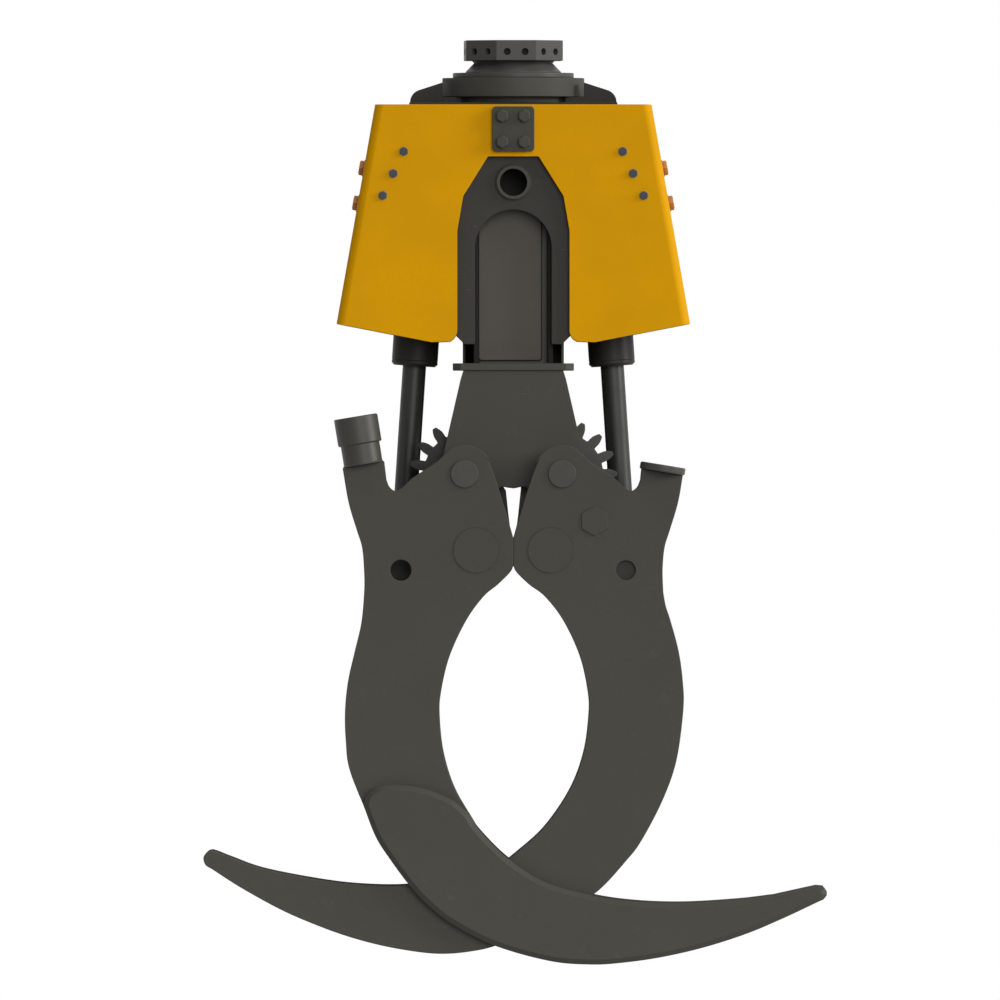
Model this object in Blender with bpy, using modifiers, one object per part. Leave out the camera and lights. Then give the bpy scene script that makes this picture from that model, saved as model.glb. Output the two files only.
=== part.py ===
"""Log grapple with two hydraulic cylinders, a geared pair of arms and a swivel head.

Metres, +Z up. The origin is the centre of the head's top face, X runs across the two arms and
Y through the grapple, with the front at -Y. The grapple is drawn closed.
"""

import math

import bmesh
import bpy
from mathutils import Matrix, Vector

# Clearances and general values
FIT = 0.0003                    # gap left between neighbouring pieces
TURN_FIT = 0.0007               # radial clearance of pieces that turn in each other
RUN = 0.0020                    # side clearance of faces that slide past each other
OVERRUN = 0.0100                # how far a cutter passes through a face
BITE = 0.0010                   # how far a welded or fused piece reaches into its carrier
WELD = 0.00001                  # distance at which doubled points are merged
ROUND_STEPS = 36                # facets of a large turned piece
PIN_STEPS = 20                  # facets of a pin or tube
BOLT_STEPS = 8                  # facets of a screw shank or port
HEX_STEPS = 6

# Swivel head
HEAD_FLATS = 0.194
HEAD_HEIGHT = 0.041
HEAD_TURN = math.radians(3.4)
PORT_RADIUS = 0.007
PORT_DEPTH = 0.014
PORT_SPACING = 0.036
PORT_DROP = 0.023
NECK_TOP_RADIUS = 0.083
NECK_RADIUS = 0.077
NECK_GROOVE_DROP = 0.0465
CONE_RADIUS = 0.0886
CONE_DROP = 0.0620
SHAFT_FLANGE_RADIUS = 0.105
SHAFT_FLANGE_THICKNESS = 0.025
SPIGOT_RADIUS = 0.058

# Slewing ring, on the housing
RETAINER_RADIUS = 0.121
RETAINER_TOP = 0.0650
RETAINER_THICKNESS = 0.0100
RING_RADIUS = 0.142
RING_THICKNESS = 0.038
RING_CHAMFER = 0.002
BASE_RING_RADIUS = 0.118
BASE_RING_THICKNESS = 0.0115

# Deck and shoulders
DECK_THICKNESS = 0.020
DECK_WIDTH = 0.416
SHOULDER_THICKNESS = 0.020
SHOULDER_HEIGHT = 0.0415
SHOULDER_SPREAD = 0.140         # distance between the middles of the two shoulder rows
SHOULDER_NOSE_RADIUS = 0.028

# Arch plates, boss tube and column
PLATE_THICKNESS = 0.020
FRAME_DEPTH = 0.276             # over the outer faces of the front and rear plates
ARCH_WIDTH = 0.230
ARCH_FOOT_DROP = 0.608
ARCH_FOOT_CHAMFER = 0.018
ARCH_OPENING_WIDTH = 0.1528
ARCH_OPENING_DROP = 0.339
BOSS_DROP = 0.2848
BOSS_RADIUS = 0.0338
BOSS_BORE_RADIUS = 0.0272
BOSS_PROUD = 0.008
BOSS_WALL = 0.012               # wall across the middle of the boss tube
COLUMN_WIDTH = 0.140
COLUMN_DEPTH = 0.188
COLUMN_WALL = 0.010
COLUMN_TOP_DROP = 0.330
COVER_THICKNESS = 0.006
COVER_WIDTH = 0.124
COVER_SIDE_INSET = 0.0014
COVER_HEIGHT = 0.306
COVER_CORNER = 0.006
SIDE_PLATE_THICKNESS = 0.010
LEG_WEB_THICKNESS = 0.005
LEG_WEB_INSET = 0.014           # of a leg web's outer face from the arch plate's edge
LEG_WEB_TOP_DROP = 0.300

# Flange and lower frame
FLANGE_DROP = 0.646
FLANGE_THICKNESS = 0.0142
FLANGE_WIDTH = 0.242
FLANGE_DEPTH = 0.284
FLANGE_CHAMFER = 0.016
FRAME_TOP_WIDTH = 0.200
FRAME_SHOULDER_WIDTH = 0.211
FRAME_SHOULDER_DROP = 0.018     # below the flange
FRAME_HEEL_RADIUS = 0.050
FRAME_THROAT_WIDTH = 0.040
FRAME_THROAT_SAG = 0.004
CORE_WIDTH = 0.088
CORE_HEIGHT = 0.096
CORE_WALL = 0.012

# Hinge, gears and links
PIVOT_SPACING = 0.195
PIVOT_DROP = 0.867
PIVOT_PIN_RADIUS = 0.028
PIVOT_PIN_PROUD = 0.004
PIVOT_BOSS_RADIUS = 0.050
SLEEVE_RADIUS = 0.040
TEETH_ROUND = 16                # teeth that a whole gear of this pitch would have
TEETH_CUT = 9
PRESSURE_ANGLE = math.radians(20)
ADDENDUM = 0.0120
DEDENDUM = 0.0155
BACKLASH = 0.0014
FLANK_POINTS = 2
ROOT_FLARE = 1.12               # width of a tooth at its root over that at its base circle
GEAR_THICKNESS = 0.028
GEAR_SPREAD = 0.180             # distance between the middles of the front and rear gear plates
ROD_PIN_OUT = 0.127             # outward from the arm's pivot
ROD_PIN_DROP = 0.192            # below the arm's pivot
ROD_PIN_RADIUS = 0.020
ROD_BOSS_RADIUS = 0.052
ROD_PIN_PROUD = 0.004
ACCESS_HOLE_RADIUS = 0.0208
TUBE_IN = 0.0232                # inward from the arm's pivot
TUBE_DROP = 0.1524
TUBE_RADIUS = 0.045
TUBE_PROUD = 0.0015
TUBE_BOSS_RADIUS = 0.062
COLLAR_RADIUS = 0.031

# Arms
ARM_WIDTH = 0.3366              # from the middle plane to the arm's widest point
ARM_HEIGHT = 0.979              # from the pivots down to the lowest tine
ARM_TOUCH_GAP = 0.0006
LOBE_RADIUS = 0.0576
PLATE_INNER = 0.179             # from the middle plane to an arm plate's inner face
ARM_PLATE_THICKNESS = 0.030
TINE_PASSING_GAP = 0.003        # between the right tines and the left ones that pass outside them
TINE_THICKNESS = 0.025
TINE_BEVEL = 0.010
WEB_THICKNESS = 0.012
WEB_INSET = 0.012
CROSS_TUBE_RADIUS = 0.036
SPREADER_RADIUS = 0.018

# Horns with their bumpers and stop discs
HORN_TILT = math.radians(9.3)
BUMPER_NECK_RADIUS = 0.037
BUMPER_NECK_HEIGHT = 0.042
BUMPER_CAP_RADIUS = 0.0425
BUMPER_CAP_HEIGHT = 0.052
BUMPER_CHAMFER = 0.003
STOP_DISC_RADIUS = 0.045
STOP_DISC_THICKNESS = 0.019
HEX_PLUG_FLATS = 0.052
HEX_PLUG_PROUD = 0.003
HEX_PLUG_OUT = 0.065
HEX_PLUG_DROP = 0.094

# Cylinders
TOP_PIN_OUT = 0.1695            # from the middle plane
TOP_PIN_DROP = 0.222
TOP_PIN_RADIUS = 0.020
TOP_EYE_CLEARANCE = 0.0190      # room for the eye's drift about its pin as the arms open
TOP_EYE_WALL = 0.012
TOP_EYE_WIDTH = 0.090
LUG_GAP = 0.116
LUG_THICKNESS = 0.022
LUG_NOSE_RADIUS = 0.042
BARREL_RADIUS = 0.044
BARREL_BORE_RADIUS = 0.038
BARREL_HEAD_DROP = 0.078        # from the top pin to the bore's blind end
GLAND_END_DROP = 0.430          # from the top pin to the gland's lower face
GLAND_RADIUS = 0.046
GLAND_LENGTH = 0.075
GLAND_SPIGOT = 0.018
GLAND_CHAMFER = 0.005
ROD_RADIUS = 0.0235
ROD_EYE_RADIUS = 0.042
ROD_EYE_WIDTH = 0.070
PISTON_LENGTH = 0.036
PISTON_NECK_RADIUS = 0.015

# Guard
GUARD_SHEET = 0.006
GUARD_DEPTH = 0.300
GUARD_TOP_DROP = 0.129
GUARD_TOP_WIDTH = 0.552
GUARD_BOTTOM_WIDTH = 0.706
GUARD_BEND_RADIUS = 0.018
GUARD_BEND_POINTS = 6
GUARD_FOOT_DROP = 0.604         # at the foot of the slanted lower edges
GUARD_SLANT_RISE = 0.037        # from the foot up to the outer lower corners
GUARD_SLANT_END = 0.163         # from the middle plane to the foot of the slanted edges
GUARD_FOOT_RADIUS = 0.024
CUTOUT_WIDTH = 0.224
CUTOUT_WAIST_DROP = 0.381
CUTOUT_NECK_DROP = 0.312
CUTOUT_NECK_WIDTH = 0.200
CUTOUT_TOP_DROP = 0.233
CUTOUT_TOP_WIDTH = 0.101
SHELL_GAP = 0.004               # between the front and rear shells' side flanges

# Guard fastening
CLAMP_WIDTH = 0.084
CLAMP_HEIGHT = 0.090
CLAMP_TOP_DROP = 0.133
CLAMP_THICKNESS = 0.010
CLAMP_CORNER = 0.008
CLAMP_BOLT_X = 0.044
CLAMP_BOLT_Z = 0.052
CLAMP_HEX_FLATS = 0.026
CLAMP_HEX_HEIGHT = 0.010
CORNER_BOLT_RADIUS = 0.008
CORNER_BOLT_HEIGHT = 0.005
CORNER_BOLT_OUT = 0.2186        # topmost screw, from the middle plane
CORNER_BOLT_DROP = 0.223
CORNER_BOLT_STEP_OUT = 0.021
CORNER_BOLT_STEP_DROP = 0.044
CORNER_BOLTS = 3
SIDE_BOLT_DROP = 0.256
SIDE_BOLT_STEP = 0.070
SIDE_BOLTS = 2
SIDE_BOLT_OFFSET = 0.070        # of a bolt row from the middle plane, front to back
SIDE_HEX_FLATS = 0.034
SIDE_HEX_HEIGHT = 0.010
BRACKET_THICKNESS = 0.006
BRACKET_MARGIN = 0.022

# First and last angles of arcs, in degrees from +X towards +Z
NECK_ARC = (185, 262)
NOSE_ARC = (20, 66)
LUG_ARC = (-100, 0)
HEEL_ARC = (12, -120)
FOOT_ARC = (180, 250)
LOBE_ARC = (62, 158)
ROD_BOSS_ARC = (20, -95)
TUBE_BOSS_ARC = (-80, -190)

# Shares of ARM_WIDTH outward from the middle plane and of ARM_HEIGHT down from the pivots
HORN_OUTER_share = (1.000, -0.0125)
HORN_INNER_share = (0.768, -0.0260)
HORN_VALLEY_shares = ((0.7546, 0.0120), (0.735, 0.0270), (0.699, 0.0345), (0.655, 0.0270))
HORN_RISE_shares = ((0.600, 0.0085), (0.452, -0.0250))
ARM_OUTER_shares = (
    (0.976, 0.059), (0.927, 0.1154), (0.8965, 0.150), (0.885, 0.195), (0.884, 0.238), (0.901, 0.303),
    (0.9395, 0.3606), (0.9796, 0.4219), (0.9976, 0.4831), (0.993, 0.5444), (0.9681, 0.6057),
    (0.875, 0.707), (0.739, 0.788),
)
THROAT_shares = ((0.160, -0.036), (0.109, 0.007), (0.034, 0.089), (0.000, 0.130))
LEFT_INNER_shares = (
    (0.000, 0.188), (0.021, 0.2012), (0.093, 0.2257), (0.1773, 0.2503), (0.2801, 0.2993),
    (0.3789, 0.3728), (0.4299, 0.4464), (0.4375, 0.4954), (0.414, 0.5689), (0.3466, 0.6425),
    (0.2229, 0.716),
)
RIGHT_INNER_shares = (
    (0.000, 0.188), (0.021, 0.2012), (0.0944, 0.2257), (0.1877, 0.2503), (0.2963, 0.2993),
    (0.3953, 0.3728), (0.4428, 0.4464), (0.4459, 0.4954), (0.4155, 0.5689), (0.3362, 0.6425),
    (0.1935, 0.716), (0.0427, 0.7651),
)
LEFT_END_shares = ((0.180, 0.742), (0.778, 0.772))
RIGHT_UPPER_shares = (
    (-0.140, 0.811), (-0.317, 0.8265), (-0.633, 0.8387), (-0.895, 0.8378), (-1.146, 0.828),
    (-1.483, 0.8055), (-1.696, 0.7796),
)
RIGHT_TIP_shares = (
    (-1.773, 0.7692), (-1.806, 0.7692), (-1.8336, 0.7773), (-1.8381, 0.7865), (-1.8223, 0.7978),
    (-1.7844, 0.8059),
)
RIGHT_LOWER_shares = (
    (-1.621, 0.842), (-1.396, 0.885), (-1.208, 0.914), (-0.996, 0.941), (-0.783, 0.961),
    (-0.570, 0.974), (-0.421, 0.978), (-0.270, 0.974), (-0.109, 0.962), (0.099, 0.931),
    (0.300, 0.894), (0.503, 0.8495), (0.670, 0.788), (0.759, 0.7475), (0.8835, 0.666),
    (0.967, 0.584), (1.008, 0.480), (1.0044, 0.4219), (0.9797, 0.3606), (0.9321, 0.2993),
    (0.9034, 0.2686), (0.8885, 0.240),
)
TINE_OUTER_shares = (
    (0.889, 0.675), (0.816, 0.739), (0.733, 0.784), (0.614, 0.839), (0.495, 0.882),
    (0.352, 0.919), (0.103, 0.962), (-0.218, 0.9926), (-0.456, 1.000), (-0.638, 0.9965),
    (-0.872, 0.985), (-1.1266, 0.965), (-1.381, 0.937), (-1.602, 0.905), (-1.8102, 0.8713),
)
TINE_TIP_shares = (
    (-1.8375, 0.8672), (-1.8592, 0.859), (-1.8598, 0.8509), (-1.8439, 0.8427), (-1.800, 0.8410),
)
TINE_INNER_shares = (
    (-1.549, 0.860), (-1.339, 0.8685), (-1.020, 0.875), (-0.734, 0.872), (-0.4736, 0.8594),
    (-0.190, 0.832), (0.031, 0.784), (0.198, 0.727), (0.275, 0.690), (0.352, 0.666),
)
TINE_HEEL_shares = ((0.495, 0.645), (0.590, 0.637), (0.697, 0.634), (0.792, 0.637), (0.862, 0.651))
GEAR_EDGE_shares = ((0.0196, 0.107), (0.029, 0.0817), (0.0435, 0.0337))
CROSS_TUBE_share = (0.575, 0.690)
SPREADER_share = (-1.030, 0.885)
WEB_RANGE_shares = (0.300, 0.730)
SMOOTH_POINTS = 3               # points of a smooth edge between two of its shares

# Worked out from the values above
HALF_FRAME = FRAME_DEPTH / 2
FRAME_INNER = HALF_FRAME - PLATE_THICKNESS
RING_TOP = RETAINER_TOP + RETAINER_THICKNESS + FIT
DECK_TOP = RING_TOP + RING_THICKNESS + BASE_RING_THICKNESS + FIT
DECK_BOTTOM = DECK_TOP + DECK_THICKNESS
FRAME_TOP = FLANGE_DROP + FLANGE_THICKNESS + FIT
GEAR_INNER = GEAR_SPREAD / 2 - GEAR_THICKNESS / 2
GEAR_OUTER = GEAR_SPREAD / 2 + GEAR_THICKNESS / 2
LEFT_PLATE_THICKNESS = ARM_PLATE_THICKNESS + TINE_PASSING_GAP
LEFT_OUTER = PLATE_INNER + LEFT_PLATE_THICKNESS
RIGHT_OUTER = PLATE_INNER + ARM_PLATE_THICKNESS
TINE_INNER_FACE = LEFT_OUTER + FIT
TINE_OUTER_FACE = TINE_INNER_FACE + TINE_THICKNESS
PITCH_RADIUS = PIVOT_SPACING / 2
GUARD_OUTER = GUARD_DEPTH / 2
GUARD_SIDE_DROP = GUARD_FOOT_DROP - GUARD_SLANT_RISE
GUARD_INNER = GUARD_OUTER - GUARD_SHEET
TOP_EYE_BORE_RADIUS = TOP_PIN_RADIUS + TOP_EYE_CLEARANCE
TOP_EYE_RADIUS = TOP_EYE_BORE_RADIUS + TOP_EYE_WALL
ROD_PIN_X = PIVOT_SPACING / 2 + ROD_PIN_OUT
ROD_PIN_Z = PIVOT_DROP + ROD_PIN_DROP
CYLINDER_LEAN = math.atan2(ROD_PIN_X - TOP_PIN_OUT, ROD_PIN_Z - TOP_PIN_DROP)
CYLINDER_LENGTH = math.hypot(ROD_PIN_X - TOP_PIN_OUT, ROD_PIN_Z - TOP_PIN_DROP)
SIDES = {"left": -1, "right": 1}
ENDS = {"front": -1, "rear": 1}

# Materials: base colour, roughness, metallic
FINISHES = {
    "dark_steel": ((0.062, 0.060, 0.050), 0.55, 0.35),
    "head_steel": ((0.120, 0.115, 0.105), 0.45, 0.50),
    "housing_steel": ((0.058, 0.056, 0.047), 0.60, 0.30),
    "guard_yellow": ((0.550, 0.262, 0.001), 0.45, 0.00),
    "cylinder_black": ((0.022, 0.021, 0.020), 0.40, 0.20),
    "rod_steel": ((0.100, 0.100, 0.092), 0.25, 0.90),
    "pin_steel": ((0.075, 0.073, 0.066), 0.40, 0.80),
    "bolt_dark": ((0.045, 0.050, 0.062), 0.45, 0.70),
    "bolt_copper": ((0.480, 0.190, 0.045), 0.35, 0.80),
    "bumper_grey": ((0.080, 0.078, 0.070), 0.50, 0.20),
}


def clear_scene():
    for old in list(bpy.data.objects):
        bpy.data.objects.remove(old, do_unlink=True)


def make_collection(name):
    group = bpy.data.collections.new(name)
    bpy.context.scene.collection.children.link(group)
    return group


def make_materials():
    made = {}
    for name, (colour, roughness, metallic) in FINISHES.items():
        material = bpy.data.materials.new(name)
        material.use_nodes = True
        shader = material.node_tree.nodes["Principled BSDF"]
        shader.inputs["Base Color"].default_value = (*colour, 1.0)
        shader.inputs["Roughness"].default_value = roughness
        shader.inputs["Metallic"].default_value = metallic
        made[name] = material
    return made


clear_scene()
PARTS = make_collection("log_grapple")
CUTTERS = make_collection("log_grapple_cutters")
MATERIALS = make_materials()
ALONG_Y = Matrix.Rotation(-math.pi / 2, 4, "X")     # turns a piece's own Z into the world's Y
UPRIGHT = Matrix.Rotation(math.pi / 2, 4, "X")      # stands a flat outline up in the XZ plane
OUTWARD = {
    "left": Matrix.Rotation(-math.pi / 2, 4, "Y"),
    "right": Matrix.Rotation(math.pi / 2, 4, "Y"),
}


# Joint centres, each an empty that carries the pieces of one moving body
def make_empty(name, place):
    empty = bpy.data.objects.new(name, None)
    empty.location = place
    PARTS.objects.link(empty)
    return empty


def make_joints():
    joints = {"head": make_empty("head_frame", (0, 0, 0))}
    joints["housing"] = make_empty("swivel_axis", (0, 0, -RING_TOP))
    for side, sign in SIDES.items():
        pivot = (sign * PIVOT_SPACING / 2, 0, -PIVOT_DROP)
        pin = (sign * ROD_PIN_X, 0, -ROD_PIN_Z)
        top = (sign * TOP_PIN_OUT, 0, -TOP_PIN_DROP)
        joints[side + "_arm"] = make_empty(side + "_arm_axis", pivot)
        joints[side + "_rod"] = make_empty(side + "_rod_axis", pin)
        joints[side + "_barrel"] = make_empty(side + "_barrel_axis", top)
    bpy.context.view_layer.update()
    return joints


JOINTS = make_joints()


def finish(name, mesh, finish_name, body, place=None):
    """Make the named part from a mesh and hang it on its body's joint."""
    part = bpy.data.objects.new(name, mesh)
    PARTS.objects.link(part)
    mesh.materials.clear()
    mesh.materials.append(MATERIALS[finish_name])
    if place is not None:
        part.matrix_world = place
    part.parent = JOINTS[body]
    part.matrix_parent_inverse = JOINTS[body].matrix_world.inverted()
    return part


def smooth_round(mesh):
    mesh.shade_smooth()
    mesh.set_sharp_from_angle(angle=math.radians(35))


def as_cutter(name, mesh, place=None):
    cutter = bpy.data.objects.new(name, mesh)
    CUTTERS.objects.link(cutter)
    if place is not None:
        cutter.matrix_world = place
    cutter.hide_render = True
    cutter.display_type = "WIRE"
    return cutter


def combine(part, tool, operation):
    change = part.modifiers.new(tool.name, "BOOLEAN")
    change.operation = operation
    change.solver = "EXACT"
    change.object = tool


def weld(part, name, meshes, places):
    """Fuse pieces that reach a little into the part."""
    combine(part, as_cutter(name, merge_meshes(name, meshes, places)), "UNION")


def drill(part, name, meshes, places):
    combine(part, as_cutter(name, merge_meshes(name, meshes, places)), "DIFFERENCE")


# Outlines in the XZ plane
def circle(centre, radius, steps, start=0.0):
    turn = 2 * math.pi / steps
    return [
        (centre[0] + radius * math.cos(start + turn * i), centre[1] + radius * math.sin(start + turn * i))
        for i in range(steps)
    ]


def arc(centre, radius, first, last, count):
    """Points from angle first to angle last, in degrees, both ends included."""
    points = []
    for i in range(count + 1):
        angle = math.radians(first + (last - first) * i / count)
        points.append((centre[0] + radius * math.cos(angle), centre[1] + radius * math.sin(angle)))
    return points


def smooth(points, count=SMOOTH_POINTS):
    """A smooth edge through the points, each stretch shared out into count steps."""
    line = [Vector(p) for p in points]
    ends = [2 * line[0] - line[1]] + line + [2 * line[-1] - line[-2]]
    edge = []
    for before, here, there, after in zip(ends, ends[1:], ends[2:], ends[3:]):
        for i in range(count):
            t = i / count
            edge.append(
                here
                + (there - before) * (t / 2)
                + (2 * before - 5 * here + 4 * there - after) * (t * t / 2)
                + (3 * here - before - 3 * there + after) * (t * t * t / 2)
            )
    edge.append(line[-1])
    return [(p.x, p.y) for p in edge]


def rectangle(x_low, x_high, z_low, z_high, corner=0.0, count=3):
    if corner == 0.0:
        return [(x_low, z_low), (x_high, z_low), (x_high, z_high), (x_low, z_high)]
    return (
        arc((x_high - corner, z_low + corner), corner, -90, 0, count)
        + arc((x_high - corner, z_high - corner), corner, 0, 90, count)
        + arc((x_low + corner, z_high - corner), corner, 90, 180, count)
        + arc((x_low + corner, z_low + corner), corner, 180, 270, count)
    )


def mirrored(points, sign=-1):
    """The same outline on the other side, kept in the same winding."""
    if sign > 0:
        return list(points)
    return [(-x, z) for x, z in reversed(points)]


def flat_mesh(name, outlines, thickness):
    """A flat piece: a filled 2D curve with an extrude, made a mesh with its caps welded on."""
    curve = bpy.data.curves.new(name, "CURVE")
    curve.dimensions = "2D"
    curve.fill_mode = "BOTH"
    curve.extrude = thickness / 2
    for outline in outlines:
        line = curve.splines.new("POLY")
        line.points.add(len(outline) - 1)
        for point, (x, y) in zip(line.points, outline):
            point.co = (x, y, 0, 1)
        line.use_cyclic_u = True
    holder = bpy.data.objects.new(name, curve)
    PARTS.objects.link(holder)
    bpy.context.view_layer.update()
    graph = bpy.context.evaluated_depsgraph_get()
    mesh = bpy.data.meshes.new_from_object(holder.evaluated_get(graph))
    bpy.data.objects.remove(holder, do_unlink=True)
    body = bmesh.new()
    body.from_mesh(mesh)
    bmesh.ops.remove_doubles(body, verts=body.verts, dist=WELD)
    body.to_mesh(mesh)
    body.free()
    mesh.name = name
    return mesh


def merge_meshes(name, meshes, places=None):
    """One mesh that holds several separate solids."""
    body = bmesh.new()
    for i, mesh in enumerate(meshes):
        known = len(body.verts)
        body.from_mesh(mesh)
        body.verts.ensure_lookup_table()
        if places is not None:
            bmesh.ops.transform(body, matrix=places[i], verts=body.verts[known:])
    merged = bpy.data.meshes.new(name)
    body.to_mesh(merged)
    body.free()
    return merged


def standing(y_low, y_high):
    """Where a flat piece stands between two depths."""
    return Matrix.Translation((0, (y_low + y_high) / 2, 0)) @ UPRIGHT


def plate(name, outlines, y_low, y_high, finish_name, body):
    mesh = flat_mesh(name, outlines, y_high - y_low)
    return finish(name, mesh, finish_name, body, standing(y_low, y_high))


def depths(end, inner, outer):
    """The low and high Y of a plate that lies between two distances from the middle plane."""
    return (inner, outer) if end == "rear" else (-outer, -inner)


def turned_mesh(name, profile, steps):
    """A turned solid from (radius, height) points, top of the outer side first."""
    outline = bpy.data.meshes.new(name)
    body = bmesh.new()
    points = [body.verts.new((radius, 0, height)) for radius, height in profile]
    for first, second in zip(points, points[1:]):
        body.edges.new((first, second))
    if profile[0][0] > 0:
        body.edges.new((points[-1], points[0]))
    body.to_mesh(outline)
    body.free()
    holder = bpy.data.objects.new(name, outline)
    PARTS.objects.link(holder)
    spin = holder.modifiers.new("turn", "SCREW")
    spin.steps = steps
    spin.render_steps = steps
    spin.use_merge_vertices = True
    spin.merge_threshold = WELD
    bpy.context.view_layer.update()
    graph = bpy.context.evaluated_depsgraph_get()
    mesh = bpy.data.meshes.new_from_object(holder.evaluated_get(graph))
    bpy.data.objects.remove(holder, do_unlink=True)
    mesh.name = name
    smooth_round(mesh)
    return mesh


def tube_profile(radius, bore, low, high, chamfer=0.0):
    if chamfer == 0.0:
        return [(radius, high), (radius, low), (bore, low), (bore, high)]
    return [
        (radius - chamfer, high), (radius, high - chamfer), (radius, low + chamfer),
        (radius - chamfer, low), (bore, low), (bore, high),
    ]


def pin_profile(radius, low, high, chamfer):
    return [
        (0, high), (radius - chamfer, high), (radius, high - chamfer),
        (radius, low + chamfer), (radius - chamfer, low), (0, low),
    ]


def cylinder_mesh(name, radius, length, steps):
    mesh = bpy.data.meshes.new(name)
    body = bmesh.new()
    bmesh.ops.create_cone(
        body, cap_ends=True, segments=steps, radius1=radius, radius2=radius, depth=length
    )
    body.to_mesh(mesh)
    body.free()
    smooth_round(mesh)
    return mesh


# Swivel head, held by the carrier
def make_head_block():
    across = HEAD_FLATS / (2 * math.cos(math.pi / 8))
    outline = circle((0, 0), across, 8, math.pi / 8)
    mesh = flat_mesh("head_block", [outline], HEAD_HEIGHT)
    turn = Matrix.Rotation(HEAD_TURN, 4, "Z")
    place = Matrix.Translation((0, 0, -HEAD_HEIGHT / 2)) @ turn
    block = finish("head_block", mesh, "head_steel", "head", place)
    length = PORT_DEPTH + OVERRUN
    drill = cylinder_mesh("port", PORT_RADIUS, length, BOLT_STEPS)
    places = []
    for facet in range(8):
        heading = Matrix.Rotation(HEAD_TURN + facet * math.pi / 4, 4, "Z")
        for side in (-1, 1):
            reach = HEAD_FLATS / 2 - PORT_DEPTH + length / 2
            spot = Vector((side * PORT_SPACING / 2, reach, -PORT_DROP))
            places.append(heading @ Matrix.Translation(spot) @ ALONG_Y)
    ports = as_cutter("head_ports", merge_meshes("head_ports", [drill] * len(places), places))
    combine(block, ports, "DIFFERENCE")


def make_swivel_shaft():
    top = -HEAD_HEIGHT - FIT
    flange_top = -RING_TOP - FIT
    flange_low = flange_top - SHAFT_FLANGE_THICKNESS
    profile = [
        (0, top), (NECK_TOP_RADIUS, top), (NECK_RADIUS, -NECK_GROOVE_DROP),
        *arc((CONE_RADIUS, -NECK_GROOVE_DROP), CONE_RADIUS - NECK_RADIUS, *NECK_ARC, 5),
        (CONE_RADIUS, -CONE_DROP), (CONE_RADIUS, flange_top), (SHAFT_FLANGE_RADIUS, flange_top),
        (SHAFT_FLANGE_RADIUS, flange_low), (SPIGOT_RADIUS, flange_low),
        (SPIGOT_RADIUS, -DECK_BOTTOM), (0, -DECK_BOTTOM),
    ]
    finish("swivel_shaft", turned_mesh("swivel_shaft", profile, ROUND_STEPS), "head_steel", "head")


# Slewing ring, deck and shoulders
def make_rings():
    bore = CONE_RADIUS + TURN_FIT
    low = -RETAINER_TOP - RETAINER_THICKNESS
    profile = tube_profile(RETAINER_RADIUS, bore, low, -RETAINER_TOP, RING_CHAMFER)
    mesh = turned_mesh("retainer_ring", profile, ROUND_STEPS)
    finish("retainer_ring", mesh, "housing_steel", "housing")

    cavity = SHAFT_FLANGE_RADIUS + TURN_FIT
    floor = -RING_TOP - SHAFT_FLANGE_THICKNESS - 2 * FIT
    low = -RING_TOP - RING_THICKNESS
    bore = SPIGOT_RADIUS + TURN_FIT
    profile = [
        (RING_RADIUS - RING_CHAMFER, -RING_TOP), (RING_RADIUS, -RING_TOP - RING_CHAMFER),
        (RING_RADIUS, low + RING_CHAMFER), (RING_RADIUS - RING_CHAMFER, low),
        (BASE_RING_RADIUS, low), (BASE_RING_RADIUS, low - BASE_RING_THICKNESS),
        (bore, low - BASE_RING_THICKNESS), (bore, floor), (cavity, floor), (cavity, -RING_TOP),
    ]
    mesh = turned_mesh("slewing_ring", profile, ROUND_STEPS)
    finish("slewing_ring", mesh, "housing_steel", "housing")


def beside_ring(radius):
    """Where a shoulder's inner edge clears a ring of this radius."""
    return math.sqrt((radius + RUN) ** 2 - (SHOULDER_SPREAD / 2 - SHOULDER_THICKNESS / 2) ** 2)


def make_deck():
    """The deck with two rows of shoulder gussets that stand beside the ring."""
    outline = rectangle(-DECK_WIDTH / 2, DECK_WIDTH / 2, -HALF_FRAME, HALF_FRAME)
    hole = circle((0, 0), SPIGOT_RADIUS + RUN, PIN_STEPS)
    mesh = flat_mesh("top_deck", [outline, hole], DECK_THICKNESS)
    middle = -(DECK_TOP + DECK_BOTTOM) / 2
    place = Matrix.Translation((0, 0, middle))
    deck = finish("top_deck", mesh, "housing_steel", "housing", place)

    low = -DECK_TOP - BITE
    foot = beside_ring(BASE_RING_RADIUS)
    inner = beside_ring(RING_RADIUS)
    under_ring = -RING_TOP - RING_THICKNESS - RUN
    outer = DECK_WIDTH / 2 - BITE
    nose = SHOULDER_NOSE_RADIUS
    outline = [
        (foot, low), (outer, low), *arc((outer - nose, low), nose, *NOSE_ARC, 5),
        (inner, low + SHOULDER_HEIGHT), (inner, under_ring), (foot, under_ring),
    ]
    meshes = []
    places = []
    for sign in SIDES.values():
        for end in ENDS.values():
            middle = end * SHOULDER_SPREAD / 2
            edge = SHOULDER_THICKNESS / 2
            meshes.append(flat_mesh("shoulder", [mirrored(outline, sign)], SHOULDER_THICKNESS))
            places.append(standing(middle - edge, middle + edge))
    weld(deck, "shoulders", meshes, places)


# Housing: arch plates, boss tube, column and webs
def arch_outline():
    half = ARCH_WIDTH / 2
    gap = ARCH_OPENING_WIDTH / 2
    cut = ARCH_FOOT_CHAMFER
    crown = arc((0, -ARCH_OPENING_DROP - gap), gap, 0, 180, 14)
    foot = -ARCH_FOOT_DROP
    return [
        (half, -DECK_BOTTOM - FIT), (-half, -DECK_BOTTOM - FIT), (-half, foot + cut),
        (-half + cut, foot), (-gap, foot), *reversed(crown), (gap, foot), (half - cut, foot),
        (half, foot + cut),
    ]


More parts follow.
